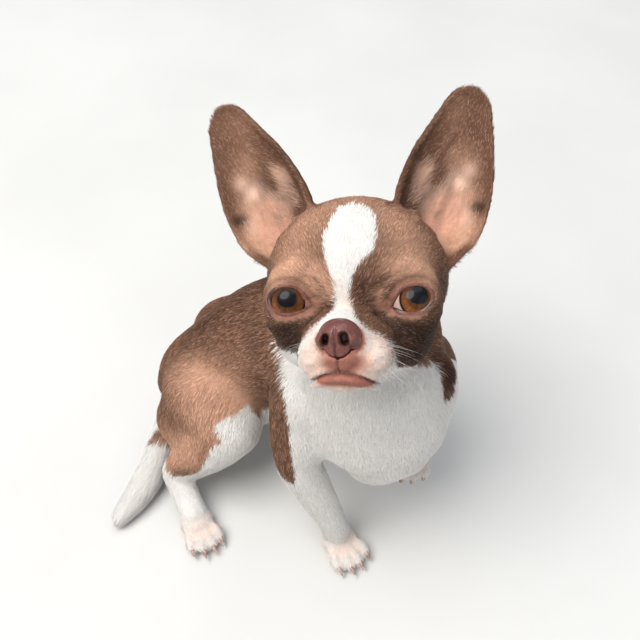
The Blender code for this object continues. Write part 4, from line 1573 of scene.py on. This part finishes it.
@dataclass(frozen=True)
class Value:
    """A shader socket with one number, on which Python's operators add Math nodes."""

    shader: "Shader"
    socket: Socket

    def _math(self, operation: str, first: Feed, second: Feed) -> "Value":
        """Adds a Math node."""
        made = self.shader.node("ShaderNodeMath", {"operation": operation}, {0: first, 1: second})
        return Value(self.shader, made.outputs[0])

    def __add__(self, other: Feed) -> "Value":
        """This plus other."""
        return self._math("ADD", self, other)

    def __radd__(self, other: Feed) -> "Value":
        """Other plus this."""
        return self._math("ADD", other, self)

    def __sub__(self, other: Feed) -> "Value":
        """This less other."""
        return self._math("SUBTRACT", self, other)

    def __rsub__(self, other: Feed) -> "Value":
        """Other less this."""
        return self._math("SUBTRACT", other, self)

    def __mul__(self, other: Feed) -> "Value":
        """This times other."""
        return self._math("MULTIPLY", self, other)

    def __rmul__(self, other: Feed) -> "Value":
        """Other times this."""
        return self._math("MULTIPLY", other, self)

    def clamp(self) -> "Value":
        """This held between 0 and 1."""
        made = self.shader.node("ShaderNodeClamp", {}, {0: self})
        return Value(self.shader, made.outputs[0])

    def ramp(self, low: float, high: float) -> "Value":
        """A soft share from 0 at low to 1 at high."""
        made = self.shader.node(
            "ShaderNodeMapRange", {"interpolation_type": "SMOOTHSTEP"}, {0: self, 1: low, 2: high}
        )
        return Value(self.shader, made.outputs[0])


class Shader:
    """Builds the nodes of one material."""

    def __init__(self, name: str) -> None:
        """Starts a material with one Principled shader.

        Args:
            name: The material's name.
        """
        self.material = bpy.data.materials.new(name)
        self.material.use_nodes = True
        self.tree = self.material.node_tree
        self.surface = self.tree.nodes["Principled BSDF"]

    def feed(self, socket: Socket, value: Feed) -> None:
        """Links a socket or sets its own value.

        Args:
            socket: The socket.
            value: The link or the value.
        """
        if isinstance(value, Value):
            self.tree.links.new(value.socket, socket)
        elif isinstance(value, Socket):
            self.tree.links.new(value, socket)
        else:
            socket.default_value = value

    def node(
        self, kind: str, settings: Dict[str, object], sockets: Dict[Union[int, str], Feed]
    ) -> bpy.types.Node:
        """Adds a node.

        Args:
            kind: The node's type.
            settings: What is set on it first, such as a Math node's operation.
            sockets: The values or links of its inputs, by name or number.

        Returns:
            The new node.
        """
        made = self.tree.nodes.new(kind)
        for name, value in settings.items():
            setattr(made, name, value)
        for name, value in sockets.items():
            self.feed(made.inputs[name], value)
        return made

    def number(self, name: str) -> Value:
        """A number that the mesh keeps at each vertex."""
        return Value(self, self.node("ShaderNodeAttribute", {"attribute_name": name}, {}).outputs["Fac"])

    def place(self) -> Socket:
        """Where the surface is, in the object's own frame."""
        return self.node("ShaderNodeTexCoord", {}, {}).outputs["Object"]

    def noise(self, scale: float, detail: float) -> Value:
        """Cloudy noise from 0 to 1, scale in waves a metre."""
        sockets = {"Vector": self.place(), "Scale": scale, "Detail": detail}
        return Value(self, self.node("ShaderNodeTexNoise", {}, sockets).outputs[0])

    def cells(self, scale: float) -> Value:
        """How far the nearest cell's middle is, for pebbled skin."""
        made = self.node("ShaderNodeTexVoronoi", {}, {"Vector": self.place(), "Scale": scale})
        return Value(self, made.outputs["Distance"])

    def mix(self, share: Feed, first: Feed, second: Feed) -> Socket:
        """A colour between two, by a share."""
        made = self.node(
            "ShaderNodeMix", {"data_type": "RGBA"}, {"Factor": share, 6: first, 7: second}
        )
        return made.outputs[2]

    def scaled(self, colour: Feed, share: Feed) -> Socket:
        """A colour made brighter or darker by a number."""
        made = self.node("ShaderNodeVectorMath", {"operation": "SCALE"}, {0: colour, "Scale": share})
        return made.outputs[0]

    def bump(self, height: Feed, strength: float, distance: float) -> None:
        """Feeds a height into the shader's normal."""
        made = self.node(
            "ShaderNodeBump", {}, {"Height": height, "Strength": strength, "Distance": distance}
        )
        self.dress({"Normal": made.outputs[0]})

    def dress(self, sockets: Dict[str, Feed]) -> Material:
        """Sets or links the shader's own sockets and returns the material.

        Args:
            sockets: The values or links by the sockets' names.

        Returns:
            The material.
        """
        for name, value in sockets.items():
            self.feed(self.surface.inputs[name], value)
        return self.material


@dataclass(frozen=True)
class CoatFinish:
    """The coat's and the skin's colours: chocolate with tan, dark and white markings, some of them painted
    light and shade, and a painted sheen towards the hair tips.
    """

    name: str
    roughness: float
    light: float = 1.0
    flush: float = 0.7
    chocolate: Colour = (0.150, 0.072, 0.043, 1)
    # Tan hair, also used for the painted sheen on the tips.
    tan: Colour = (0.62, 0.350, 0.232, 1)
    # Near black, for dark hair and for painted shade.
    dark: Colour = (0.021, 0.0105, 0.0065, 1)
    white: Colour = (0.87, 0.84, 0.80, 1)
    rosy: Colour = (0.84, 0.56, 0.43, 1)
    # Pale pink of the inner ears, made brighter as painted light shining through the thin ear.
    inner_ear_and_painted_light: Colour = (0.95, 0.64, 0.49, 1)
    pink: Colour = (0.74, 0.39, 0.27, 1)
    lip: Colour = (0.39, 0.155, 0.116, 1)

    def material(self) -> Material:
        """Builds the material.

        Returns:
            The material.
        """
        shader = Shader(self.name)
        shade, along, dark = shader.number("shade"), shader.number("along"), shader.number("dark")
        patch, fleck = shader.noise(70, 4), shader.noise(420, 3)
        tanned = (shader.number("tan") * 0.95 + (patch - 0.5) * 0.25).clamp()
        brown = shader.mix(tanned, self.chocolate, self.tan)
        brown = shader.mix((dark * 0.95 + (fleck - 0.5) * 0.3).clamp(), brown, self.dark)
        # Lighter tan tips on some brown tufts are painted sheen, glints where light catches the hair.
        sheen_tips = (shade.ramp(0.6, 1.0) * 0.7 * along * (1 - dark * 0.7)).clamp()
        brown = shader.mix(sheen_tips, brown, self.tan)
        # Per-tuft tone, and brown growing lighter from root to tip as painted sheen.
        brown = shader.scaled(brown, 0.40 + shade * 0.68 + along * 0.48)
        blush = shader.number("blush") * (self.flush + (shade - 0.5) * 0.7)
        blush = (blush + (fleck - 0.5) * 0.7 - along * 0.12).clamp()
        white = shader.mix(blush, self.white, self.rosy)
        # White tone per tuft and in patches, lighter towards the tips as painted sheen.
        white = shader.scaled(white, 0.76 + shade * 0.17 + along * 0.12 + (patch - 0.5) * 0.08)
        colour = shader.mix(shader.number("white"), brown, white)
        colour = shader.mix((shader.number("pale") * 0.9).clamp(), colour, self.inner_ear_and_painted_light)
        flesh = shader.mix(shader.number("lips"), self.pink, self.lip)
        grain = shader.noise(1600, 3)
        flesh = shader.scaled(flesh, 0.45 + fleck * 0.55 + grain * 0.52 - dark * 0.55)
        colour = shader.mix((shader.number("bare") * 1.05).clamp(), colour, flesh)
        shader.bump(shader.noise(1500, 3), 0.35, 0.0003)
        return shader.dress({
            "Base Color": shader.scaled(colour, self.light),
            "Roughness": self.roughness,
            "Specular IOR Level": 0.16,
        })


@dataclass(frozen=True)
class LidFinish:
    """The bare, moist skin of the lids' margins."""

    rim: Colour = (0.050, 0.021, 0.017, 1)
    upper: Colour = (0.24, 0.112, 0.086, 1)
    lower: Colour = (0.17, 0.074, 0.056, 1)

    def material(self) -> Material:
        """Builds the material.

        Returns:
            The material.
        """
        shader = Shader("lid_skin")
        outward, low = shader.number("outward"), shader.number("low")
        cloud = shader.noise(420, 4)
        colour = shader.mix((low + (cloud - 0.5) * 0.4).clamp(), self.upper, self.lower)
        colour = shader.scaled(colour, 0.72 + cloud * 0.56)
        edge = (0.72 - low * 0.32 - outward + (cloud - 0.5) * 0.10).ramp(0.0, 0.12)
        shader.bump(shader.noise(1400, 4) + shader.noise(5200, 2) * 0.3, 0.5, 0.00025)
        return shader.dress({
            "Base Color": shader.mix(edge, colour, self.rim),
            "Roughness": outward * 0.25 + 0.25,
            "Coat Weight": (0.55 - outward).ramp(0.0, 0.3) * 0.35,
            "Coat Roughness": 0.08,
        })


@dataclass(frozen=True)
class NoseFinish:
    """The liver-brown nose leather, pebbled and moist, with painted shade in its nostrils and groove."""

    liver: Colour = (0.135, 0.044, 0.034, 1)
    pink: Colour = (0.180, 0.058, 0.044, 1)
    # Near black, painted shade deep in the nostrils, along their slits and in the groove.
    hollow: Colour = (0.012, 0.004, 0.004, 1)

    def material(self) -> Material:
        """Builds the material.

        Returns:
            The material.
        """
        shader = Shader("nose_leather")
        pebbles = shader.cells(1500)
        rosy = (shader.noise(260, 4) * 0.5 + shader.number("low") - 0.2).clamp()
        colour = shader.mix(rosy, self.liver, self.pink)
        colour = shader.mix(shader.number("hollow"), colour, self.hollow)
        shader.bump(pebbles + shader.noise(900, 3) * 0.6, 0.5, 0.00025)
        return shader.dress({
            "Base Color": colour,
            "Roughness": shader.noise(500, 2) * 0.25 + 0.30,
            "Specular IOR Level": 0.35,
            "Coat Weight": shader.noise(700, 3).ramp(0.44, 0.60) * 0.7,
            "Coat Roughness": 0.08,
        })


@dataclass(frozen=True)
class EyeFinish:
    """The wet eyeball: pupil, amber iris, dark limbus and white, the iris's upper part in painted shade
    under the upper lid.
    """

    pupil: Colour = (0.004, 0.004, 0.006, 1)
    inner: Colour = (0.075, 0.028, 0.009, 1)
    amber: Colour = (0.20, 0.070, 0.022, 1)
    limbus: Colour = (0.014, 0.006, 0.005, 1)
    white: Colour = (0.50, 0.36, 0.31, 1)

    def material(self) -> Material:
        """Builds the material.

        Returns:
            The material.
        """
        shader = Shader("eyeball")
        angle, streak, below = shader.number("angle"), shader.number("streak"), shader.number("below")
        iris = shader.mix(angle.ramp(0.34, 0.52), self.inner, self.amber)
        # The iris darkens towards its top as painted shade cast by the upper lid.
        iris = shader.scaled(iris, (0.60 + streak * 0.6) * (0.22 + below * 1.10))
        # The pupil's dark reaches higher on the upper side, as painted shade from the upper lid.
        hole = angle + streak * 0.02 + (below - 0.5) * 0.30
        colour = shader.mix(hole.ramp(0.31, 0.41), self.pupil, iris)
        colour = shader.mix(angle.ramp(0.635, 0.71), colour, self.limbus)
        colour = shader.mix(angle.ramp(0.75, 0.81), colour, self.white)
        return shader.dress({
            "Base Color": colour,
            "Roughness": 0.35,
            "Specular IOR Level": 0.1,
            "Coat Weight": 0.22,
            "Coat Roughness": 0.05,
        })


@dataclass(frozen=True)
class PlainFinish:
    """A finish of two near colours in fine clouds, for claws, whiskers and the floor."""

    name: str
    first: Colour
    second: Colour
    scale: float
    roughness: float
    coat: float = 0.0

    def material(self) -> Material:
        """Builds the material.

        Returns:
            The material.
        """
        shader = Shader(self.name)
        cloud = shader.noise(self.scale, 3)
        return shader.dress({
            "Base Color": shader.mix(cloud.ramp(0.3, 0.7), self.first, self.second),
            "Roughness": self.roughness,
            "Coat Weight": self.coat,
        })


def ring_faces(rings: int, count: int) -> Faces:
    """The faces between rings of points, each ring joined to the next.

    Args:
        rings: How many rings.
        count: How many points each has.

    Returns:
        Rows of four vertex numbers.
    """
    faces: Faces = []
    for start in range(0, (rings - 1) * count, count):
        for n in range(count):
            m = (n + 1) % count
            faces.append((start + n, start + m, start + count + m, start + count + n))
    return faces


@dataclass
class Eye:
    """One eyeball with its bulging cornea, and the fleshy margins of its lids."""

    build: Build
    side: Side
    bulge: float = 0.00045
    rings: int = 72
    spokes: int = 96

    def gaze(self) -> Array:
        """Which way the eye looks, in the head's frame.

        Returns:
            A unit direction.
        """
        target = {Side.RIGHT: (-0.0239, -0.0098, -0.0010), Side.LEFT: (0.0270, -0.0097, 0.0005)}
        way = np.array(target[self.side]) - self.build.eye_centre(self.side)
        return way / np.linalg.norm(way)

    def ball(self, finish: Material) -> Thing:
        """Makes the eyeball, with its angle from the gaze kept at each vertex.

        Args:
            finish: The eyeball's material.

        Returns:
            The new object.
        """
        gaze = self.gaze()
        across = np.cross(gaze, (0, 0, 1))
        across /= np.linalg.norm(across)
        over = np.cross(across, gaze)
        rows, numbers = [gaze * (self.build.eye_radius + self.bulge)], [0.0]
        streaks, below, rng = [0.5], [0.5], np.random.default_rng(3)
        spoke = np.convolve(np.tile(rng.random(self.spokes), 3), (0.25, 0.5, 0.25), "same")
        spoke = spoke[self.spokes:2 * self.spokes]
        for ring in range(1, self.rings):
            angle = math.pi * (ring / self.rings) ** 1.35
            swell = self.bulge * float(smooth_step(np.array([angle]), 0.78, 0.30)[0])
            for n in range(self.spokes):
                turn = 2 * math.pi * n / self.spokes
                way = gaze * math.cos(angle)
                way = way + (across * math.cos(turn) + over * math.sin(turn)) * math.sin(angle)
                rows.append(way * (self.build.eye_radius + swell))
                numbers.append(angle)
                streaks.append(spoke[n])
                # How low each vertex lies on the eye, for the painted shade under the upper lid.
                below.append(0.5 - 0.5 * math.sin(turn))
        rows.append(-gaze * self.build.eye_radius)
        numbers.append(math.pi)
        streaks.append(0.5)
        below.append(0.5)
        made = mesh_object(
            f"eyeball_{self.side.name.lower()}",
            self.build.head().outwards(np.array(rows) + self.build.eye_centre(self.side)),
            self.ball_faces(),
        )
        add_number(made.data, "angle", np.array(numbers))
        add_number(made.data, "streak", np.array(streaks))
        add_number(made.data, "below", np.array(below))
        made.data.materials.append(finish)
        return made

    def ball_faces(self) -> Faces:
        """The faces of the eyeball, fans at its ends and squares between.

        Returns:
            Rows of vertex numbers.
        """
        faces: Faces = []
        last = 1 + (self.rings - 1) * self.spokes
        for n in range(self.spokes):
            m = (n + 1) % self.spokes
            faces.append((0, 1 + n, 1 + m))
            low = last - self.spokes
            faces.append((last, low + m, low + n))
            for ring in range(self.rings - 2):
                near, far = 1 + ring * self.spokes, 1 + (ring + 1) * self.spokes
                faces.append((near + n, far + n, far + m, near + m))
        return faces

    def margin(self, finish: Material) -> Thing:
        """Makes the rolled margins of the two lids as one ring round the opening.

        Args:
            finish: The lids' material.

        Returns:
            The new object.
        """
        outline = lid_outline(self.side, 96)
        centre, radius = self.build.eye_centre(self.side), self.build.eye_radius
        flat = outline - centre[::2]
        depth = np.sqrt(np.maximum(radius**2 - (flat**2).sum(axis=1), 1e-8))
        way = unit(np.stack([flat[:, 0], -depth, flat[:, 1]], axis=1))
        along = unit(np.roll(way, -1, axis=0) - np.roll(way, 1, axis=0))
        away = unit(np.cross(way, along))
        away *= np.sign(np.mean((away[:, ::2] * flat).sum(axis=1)))
        low = smooth_step(flat[:, 1], 0.0010, -0.0030)
        profile = (
            (-0.45, -0.60), (-0.42, 0.02), (-0.25, 0.38), (0.10, 0.72), (0.55, 0.95),
            (0.95, 1.02), (1.35, 0.92), (1.75, 0.60), (2.10, 0.10), (2.40, -0.60),
        )
        rings, outward = [], []
        for step, (across, height) in enumerate(profile):
            stretch = 1 + (0.10 if across > 0 else 0.0) * low
            angle = across * stretch * MM / radius
            reach = radius + height * (1 + 0.15 * low) * MM
            ring = way * np.cos(angle)[:, None] + away * np.sin(angle)[:, None]
            rings.append(centre + ring * reach[:, None])
            outward.append(np.full(len(way), step / (len(profile) - 1)))
        points = self.build.head().outwards(np.concatenate(rings))
        faces = ring_faces(len(profile), len(way))
        made = mesh_object(f"lids_{self.side.name.lower()}", points, faces)
        add_number(made.data, "outward", np.concatenate(outward))
        add_number(made.data, "low", np.tile(low, len(profile)))
        made.data.materials.append(finish)
        return made


@dataclass(frozen=True)
class Nostril:
    """A nostril's middle line, in mm from the groove and up from the eyes' height, and its width."""

    top: Tuple[float, float]
    foot: Tuple[float, float]
    width: float


NOSTRILS: Dict[Side, Nostril] = {
    Side.RIGHT: Nostril((3.5, -13.2), (3.8, -14.8), 1.2),
    Side.LEFT: Nostril((3.0, -12.8), (3.3, -14.6), 1.55),
}
SLIT = ((3.6, -15.0), (4.6, -16.2), (6.0, -16.4), (7.2, -15.6))


@dataclass
class Nose:
    """The nose leather with its nostrils, their slits and the groove between them."""

    build: Build
    voxel: float = 0.00028

    def swell(self, lump: Lump, centre: Triple, radii: Triple) -> None:
        """Adds an ellipsoid in the head's frame."""
        place = self.build.head_matrix() @ Matrix.Translation(centre) @ Matrix.Diagonal((*radii, 1))
        bmesh.ops.create_uvsphere(lump, u_segments=48, v_segments=32, radius=1, matrix=place)

    def make(self, finish: Material) -> Thing:
        """Makes the nose.

        Args:
            finish: The leather.

        Returns:
            The new object.
        """
        lump = bmesh.new()
        self.swell(lump, (0.0002, -0.0352, -0.0124), (0.0076, 0.0066, 0.0060))
        self.swell(lump, (-0.0004, -0.0350, -0.0164), (0.0052, 0.0050, 0.0042))
        self.swell(lump, (-0.0060, -0.0366, -0.0146), (0.0024, 0.0040, 0.0029))
        self.swell(lump, (0.0054, -0.0368, -0.0142), (0.0028, 0.0042, 0.0032))
        thing = fused("nose_leather", lump, self.voxel)
        mesh = thing.data
        edges = mesh_edges(mesh)
        points = relax(mesh_points(mesh), edges, np.full(len(mesh.vertices), 0.5), 14)
        set_mesh_points(mesh, points)
        # Painted shade for the nostrils, slits and groove.
        add_number(mesh, "hollow", self.carve(mesh))
        height = self.build.head().inwards(mesh_points(mesh))[:, 2]
        add_number(mesh, "low", smooth_step(height, -0.0135, -0.0185))
        mesh.shade_smooth()
        mesh.materials.append(finish)
        return thing

    def carve(self, mesh: Mesh) -> Array:
        """Presses the nostrils and the groove into the leather.

        Args:
            mesh: The nose's mesh, which is changed.

        Returns:
            How much painted shade each vertex gets, 0 to 1: deep in the nostrils, along their slits and in
            the groove.
        """
        head = self.build.head()
        local = head.inwards(mesh_points(mesh))
        front = smooth_step(local[:, 1], -0.0345, -0.0375)
        hollow = np.zeros(len(local))
        push = np.zeros(len(local))
        for side in Side:
            flat = np.stack([(local[:, 0] + 0.0008) * side.value, local[:, 2]], axis=1) / MM
            nostril = NOSTRILS[side]
            pit = distance_to_path(flat, np.array([nostril.top, nostril.foot]))
            slit = distance_to_path(flat, curve_through(SLIT, 9))
            inside = np.exp(-((pit / nostril.width) ** 4)) * front
            cut = bell(slit, 0.85) * smooth_step(local[:, 1], -0.0325, -0.0350)
            lobe = np.linalg.norm(flat - (6.0, -13.6), axis=1) / 2.0
            push += 2.8 * inside + 0.8 * cut - 0.5 * np.exp(-(lobe**2)) * front
            push -= 0.30 * bell(pit - 2.3, 0.6) * front
            # Painted shade deep in each nostril and along its slit.
            hollow = np.maximum(hollow, np.maximum(smooth_step(inside, 0.25, 0.85), 0.5 * cut))
        line = bell(local[:, 0] + 0.0009, 0.00045) * smooth_step(local[:, 2], -0.0085, -0.0115)
        push += 0.6 * line * front
        # Painted shade in the groove below the nostrils.
        hollow = np.maximum(hollow, 0.6 * line * front * smooth_step(local[:, 2], -0.0135, -0.0155))
        local[:, 1] += push * MM
        set_mesh_points(mesh, head.outwards(local))
        return hollow


def tapered_tube(path: Array, radii: Array, sides: int) -> Tuple[Array, Faces]:
    """A closed tube along a path.

    Args:
        path: The middle line's points.
        radii: The radius at each.
        sides: How many sides it has.

    Returns:
        The points and the faces.
    """
    along = unit(np.gradient(path, axis=0))
    hint = np.array((0.31, 0.87, 0.38))
    across = unit(np.cross(along, hint))
    over = np.cross(across, along)
    turn = 2 * np.pi * np.arange(sides) / sides
    ring = across[:, None] * np.cos(turn)[None, :, None] + over[:, None] * np.sin(turn)[None, :, None]
    points = (path[:, None] + ring * radii[:, None, None]).reshape(-1, 3)
    faces = ring_faces(len(path), sides)
    faces.append(tuple(reversed(range(sides))))
    faces.append(tuple((len(path) - 1) * sides + n for n in range(sides)))
    return points, faces


def joined(name: str, parts: Iterable[Tuple[Array, Faces]]) -> Thing:
    """Makes one object of many small meshes.

    Args:
        name: The object's name.
        parts: The points and faces of each.

    Returns:
        The new object.
    """
    points, faces, start = [], [], 0
    for there, around in parts:
        points.append(there)
        faces += [tuple(start + index for index in face) for face in around]
        start += len(there)
    return mesh_object(name, np.concatenate(points), faces)


@dataclass
class Claws:
    """The claws of the four paws."""

    build: Build
    length: float = 0.0046
    radius: float = 0.00125

    def make(self, finish: Material) -> List[Thing]:
        """Makes one object of claws for each paw.

        Args:
            finish: The horn.

        Returns:
            The new objects.
        """
        made = []
        for name, axes in self.build.paws().items():
            width = 1.0 if name.startswith("forepaw") else 0.96
            parts = [self.claw(axes, index - 1.5, width) for index in range(4)]
            thing = joined(f"claws_{name}", parts)
            thing.data.materials.append(finish)
            made.append(thing)
        return made

    def claw(self, axes: Axes, offset: float, width: float) -> Tuple[Array, Faces]:
        """One hooked claw at the end of a toe.

        Args:
            axes: The paw's frame.
            offset: The toe's number from the middle.
            width: How wide the paw is.

        Returns:
            The points and the faces.
        """
        toe = 0.0078 - 0.0014 * offset**2 + 0.0048
        x = offset * self.build.toe_pitch * width * 1.06
        knots = [
            (x, -toe + 0.0016, 0.0050), (x, -toe - 0.0012, 0.0050),
            (x, -toe - 0.62 * self.length, 0.0038), (x, -toe - 0.86 * self.length, 0.0019),
        ]
        path = axes.outwards(curve_through(knots, 9))
        radii = self.radius * np.array((0.9, 1.0, 1.0, 0.94, 0.86, 0.74, 0.58, 0.36, 0.08))
        return tapered_tube(path, radii, 10)


@dataclass
class Whiskers:
    """The stiff hairs of the muzzle."""

    build: Build
    seed: int = 11

    def make(self, finish: Material) -> Thing:
        """Makes the whiskers as one object.

        Args:
            finish: Their material.

        Returns:
            The new object.
        """
        rng = np.random.default_rng(self.seed)
        parts = []
        for side in Side:
            for row in range(4):
                for place in range(4):
                    root = (0.0118 + 0.0016 * place, -0.0285 + 0.0036 * place, -0.0165 - 0.0026 * row)
                    way = (1.0, 0.15 + 0.25 * place - 0.2 * row, -0.10 - 0.18 * row)
                    parts.append(self.hair(side, root, way, rng.uniform(0.010, 0.019), rng))
        made = joined("whiskers", parts)
        made.data.materials.append(finish)
        return made

    def hair(
        self, side: Side, root: Triple, way: Triple, length: float, rng: np.random.Generator
    ) -> Tuple[Array, Faces]:
        """One curved whisker in the head's frame.

        Args:
            side: Which side.
            root: Its root.
            way: Where it points.
            length: Its length.
            rng: The source of chance.

        Returns:
            The points and the faces.
        """
        aim = np.array(way) + rng.normal(0, 0.10, 3)
        aim = aim / np.linalg.norm(aim) * (side.value, 1, 1)
        start = np.array(root) * (side.value, 1, 1) - aim * 0.0015
        t = np.linspace(0, 1, 8)[:, None]
        path = start + aim * length * t + np.array((0, 0.10, -0.22)) * length * t**2
        radii = 0.000060 * (1 - 0.85 * t[:, 0])
        return tapered_tube(self.build.head().outwards(path), radii, 4)


@dataclass(frozen=True)
class Studio:
    """The floor, the lights and the camera, which looks down at the dog as the photograph does."""

    build: Build
    camera_place: Triple = (0.0, -0.2180, 0.4225)
    camera_tilt: float = 50.0
    lens: float = 46.91

    def floor(self) -> None:
        """Lays a pale floor under the dog."""
        span = 3.0
        corners = [(-span, -span, 0), (span, -span, 0), (span, span, 0), (-span, span, 0)]
        plane = mesh_object("floor", np.array(corners, float), [(0, 1, 2, 3)])
        finish = PlainFinish("floor", (0.60, 0.59, 0.57, 1), (0.64, 0.63, 0.61, 1), 6.0, 0.8)
        plane.data.materials.append(finish.material())

    def camera(self) -> None:
        """Puts the camera where the photograph was taken from."""
        data = bpy.data.cameras.new("camera")
        data.lens, data.sensor_width, data.clip_start = self.lens, 36.0, 0.01
        camera = placed("camera", data)
        tilt = math.radians(self.camera_tilt)
        camera.location = self.build.body_origin() + Vector(self.camera_place)
        camera.rotation_euler = (math.pi / 2 - tilt, 0, 0)
        bpy.context.scene.camera = camera

    def light(self, name: str, place: Triple, size: float, power: float, colour: Triple) -> None:
        """Hangs a soft round lamp that faces the dog.

        Args:
            name: The lamp's name.
            place: Where it hangs.
            size: Its width.
            power: Its power in watts.
            colour: Its colour.
        """
        data = bpy.data.lights.new(name, "AREA")
        data.shape, data.size, data.energy, data.color = "DISK", size, power, colour
        lamp = placed(name, data)
        lamp.location = place
        target = Vector((0.0, 0.0, 0.12))
        lamp.rotation_euler = (target - Vector(place)).to_track_quat("-Z", "Y").to_euler()

    def lights(self) -> None:
        """Hangs the lamps, lights the room evenly and shows colours as they are."""
        self.light("key", (-0.95, -0.45, 2.1), 1.9, 66.0, (1.0, 0.985, 0.955))
        self.light("fill", (1.3, -1.1, 1.0), 1.8, 6.0, (0.95, 0.97, 1.0))
        self.light("top", (0.2, 0.7, 2.3), 2.4, 24.0, (0.88, 0.94, 1.0))
        world = bpy.data.worlds.new("room")
        world.use_nodes = True
        back = world.node_tree.nodes["Background"]
        back.inputs["Color"].default_value = (0.90, 0.94, 1.0, 1)
        back.inputs["Strength"].default_value = 0.34
        bpy.context.scene.world = world
        bpy.context.scene.view_settings.view_transform = "Standard"


@dataclass
class Chihuahua:
    """The whole dog: its skin, coat, eyes, nose, claws and whiskers."""

    build: Build = field(default_factory=Build)

    def carry(self, thing: Thing, nodes: Sequence[str] = ()) -> None:
        """Lets a piece ride on the dog's one body and reports it.

        Args:
            thing: The piece.
            nodes: The solids that it stands for.
        """
        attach(thing, "root")
        if nodes:
            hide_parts(*nodes)
        LOG.info("%s: %d faces", thing.name, len(thing.data.polygons))

    def make(self) -> None:
        """Builds every piece."""
        markings = Markings(self.build)
        skin = Skin(self.build, markings)
        skin.shape()
        skin.thing.data.materials.append(CoatFinish("hide", 0.7, 0.85, 1.1).material())
        self.carry(skin.thing, FLESH)
        self.details()
        unwrap = Unwrap()
        unwrap.lay_out(skin.thing)
        coat = Coat(skin, Lie(self.build, markings), unwrap)
        coat.prepare()
        finish = CoatFinish("coat", 0.62).material()
        for layer in coat.layers():
            self.carry(coat.grow(layer, finish))

    def details(self) -> None:
        """Builds the eyes, the nose, the claws and the whiskers."""
        eyeball, lid = EyeFinish().material(), LidFinish().material()
        for side in Side:
            eye = Eye(self.build, side)
            self.carry(eye.ball(eyeball), (f"eye_{side.name.lower()}",))
            self.carry(eye.margin(lid))
        self.carry(Nose(self.build).make(NoseFinish().material()), ("nose",))
        horn = PlainFinish("claw_horn", (0.26, 0.16, 0.13, 1), (0.50, 0.36, 0.31, 1), 500, 0.35, 0.3)
        for claws in Claws(self.build).make(horn.material()):
            self.carry(claws)
        pale = PlainFinish("whisker", (0.75, 0.71, 0.65, 1), (0.86, 0.83, 0.78, 1), 300, 0.4)
        self.carry(Whiskers(self.build).make(pale.material()))


def main() -> None:
    """Dresses the dog and sets up the studio."""
    logging.basicConfig(level=logging.INFO, format="%(message)s")
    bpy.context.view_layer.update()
    build = Build()
    studio = Studio(build)
    studio.camera()
    studio.floor()
    studio.lights()
    Chihuahua(build).make()


if __name__ == "__main__":
    main()
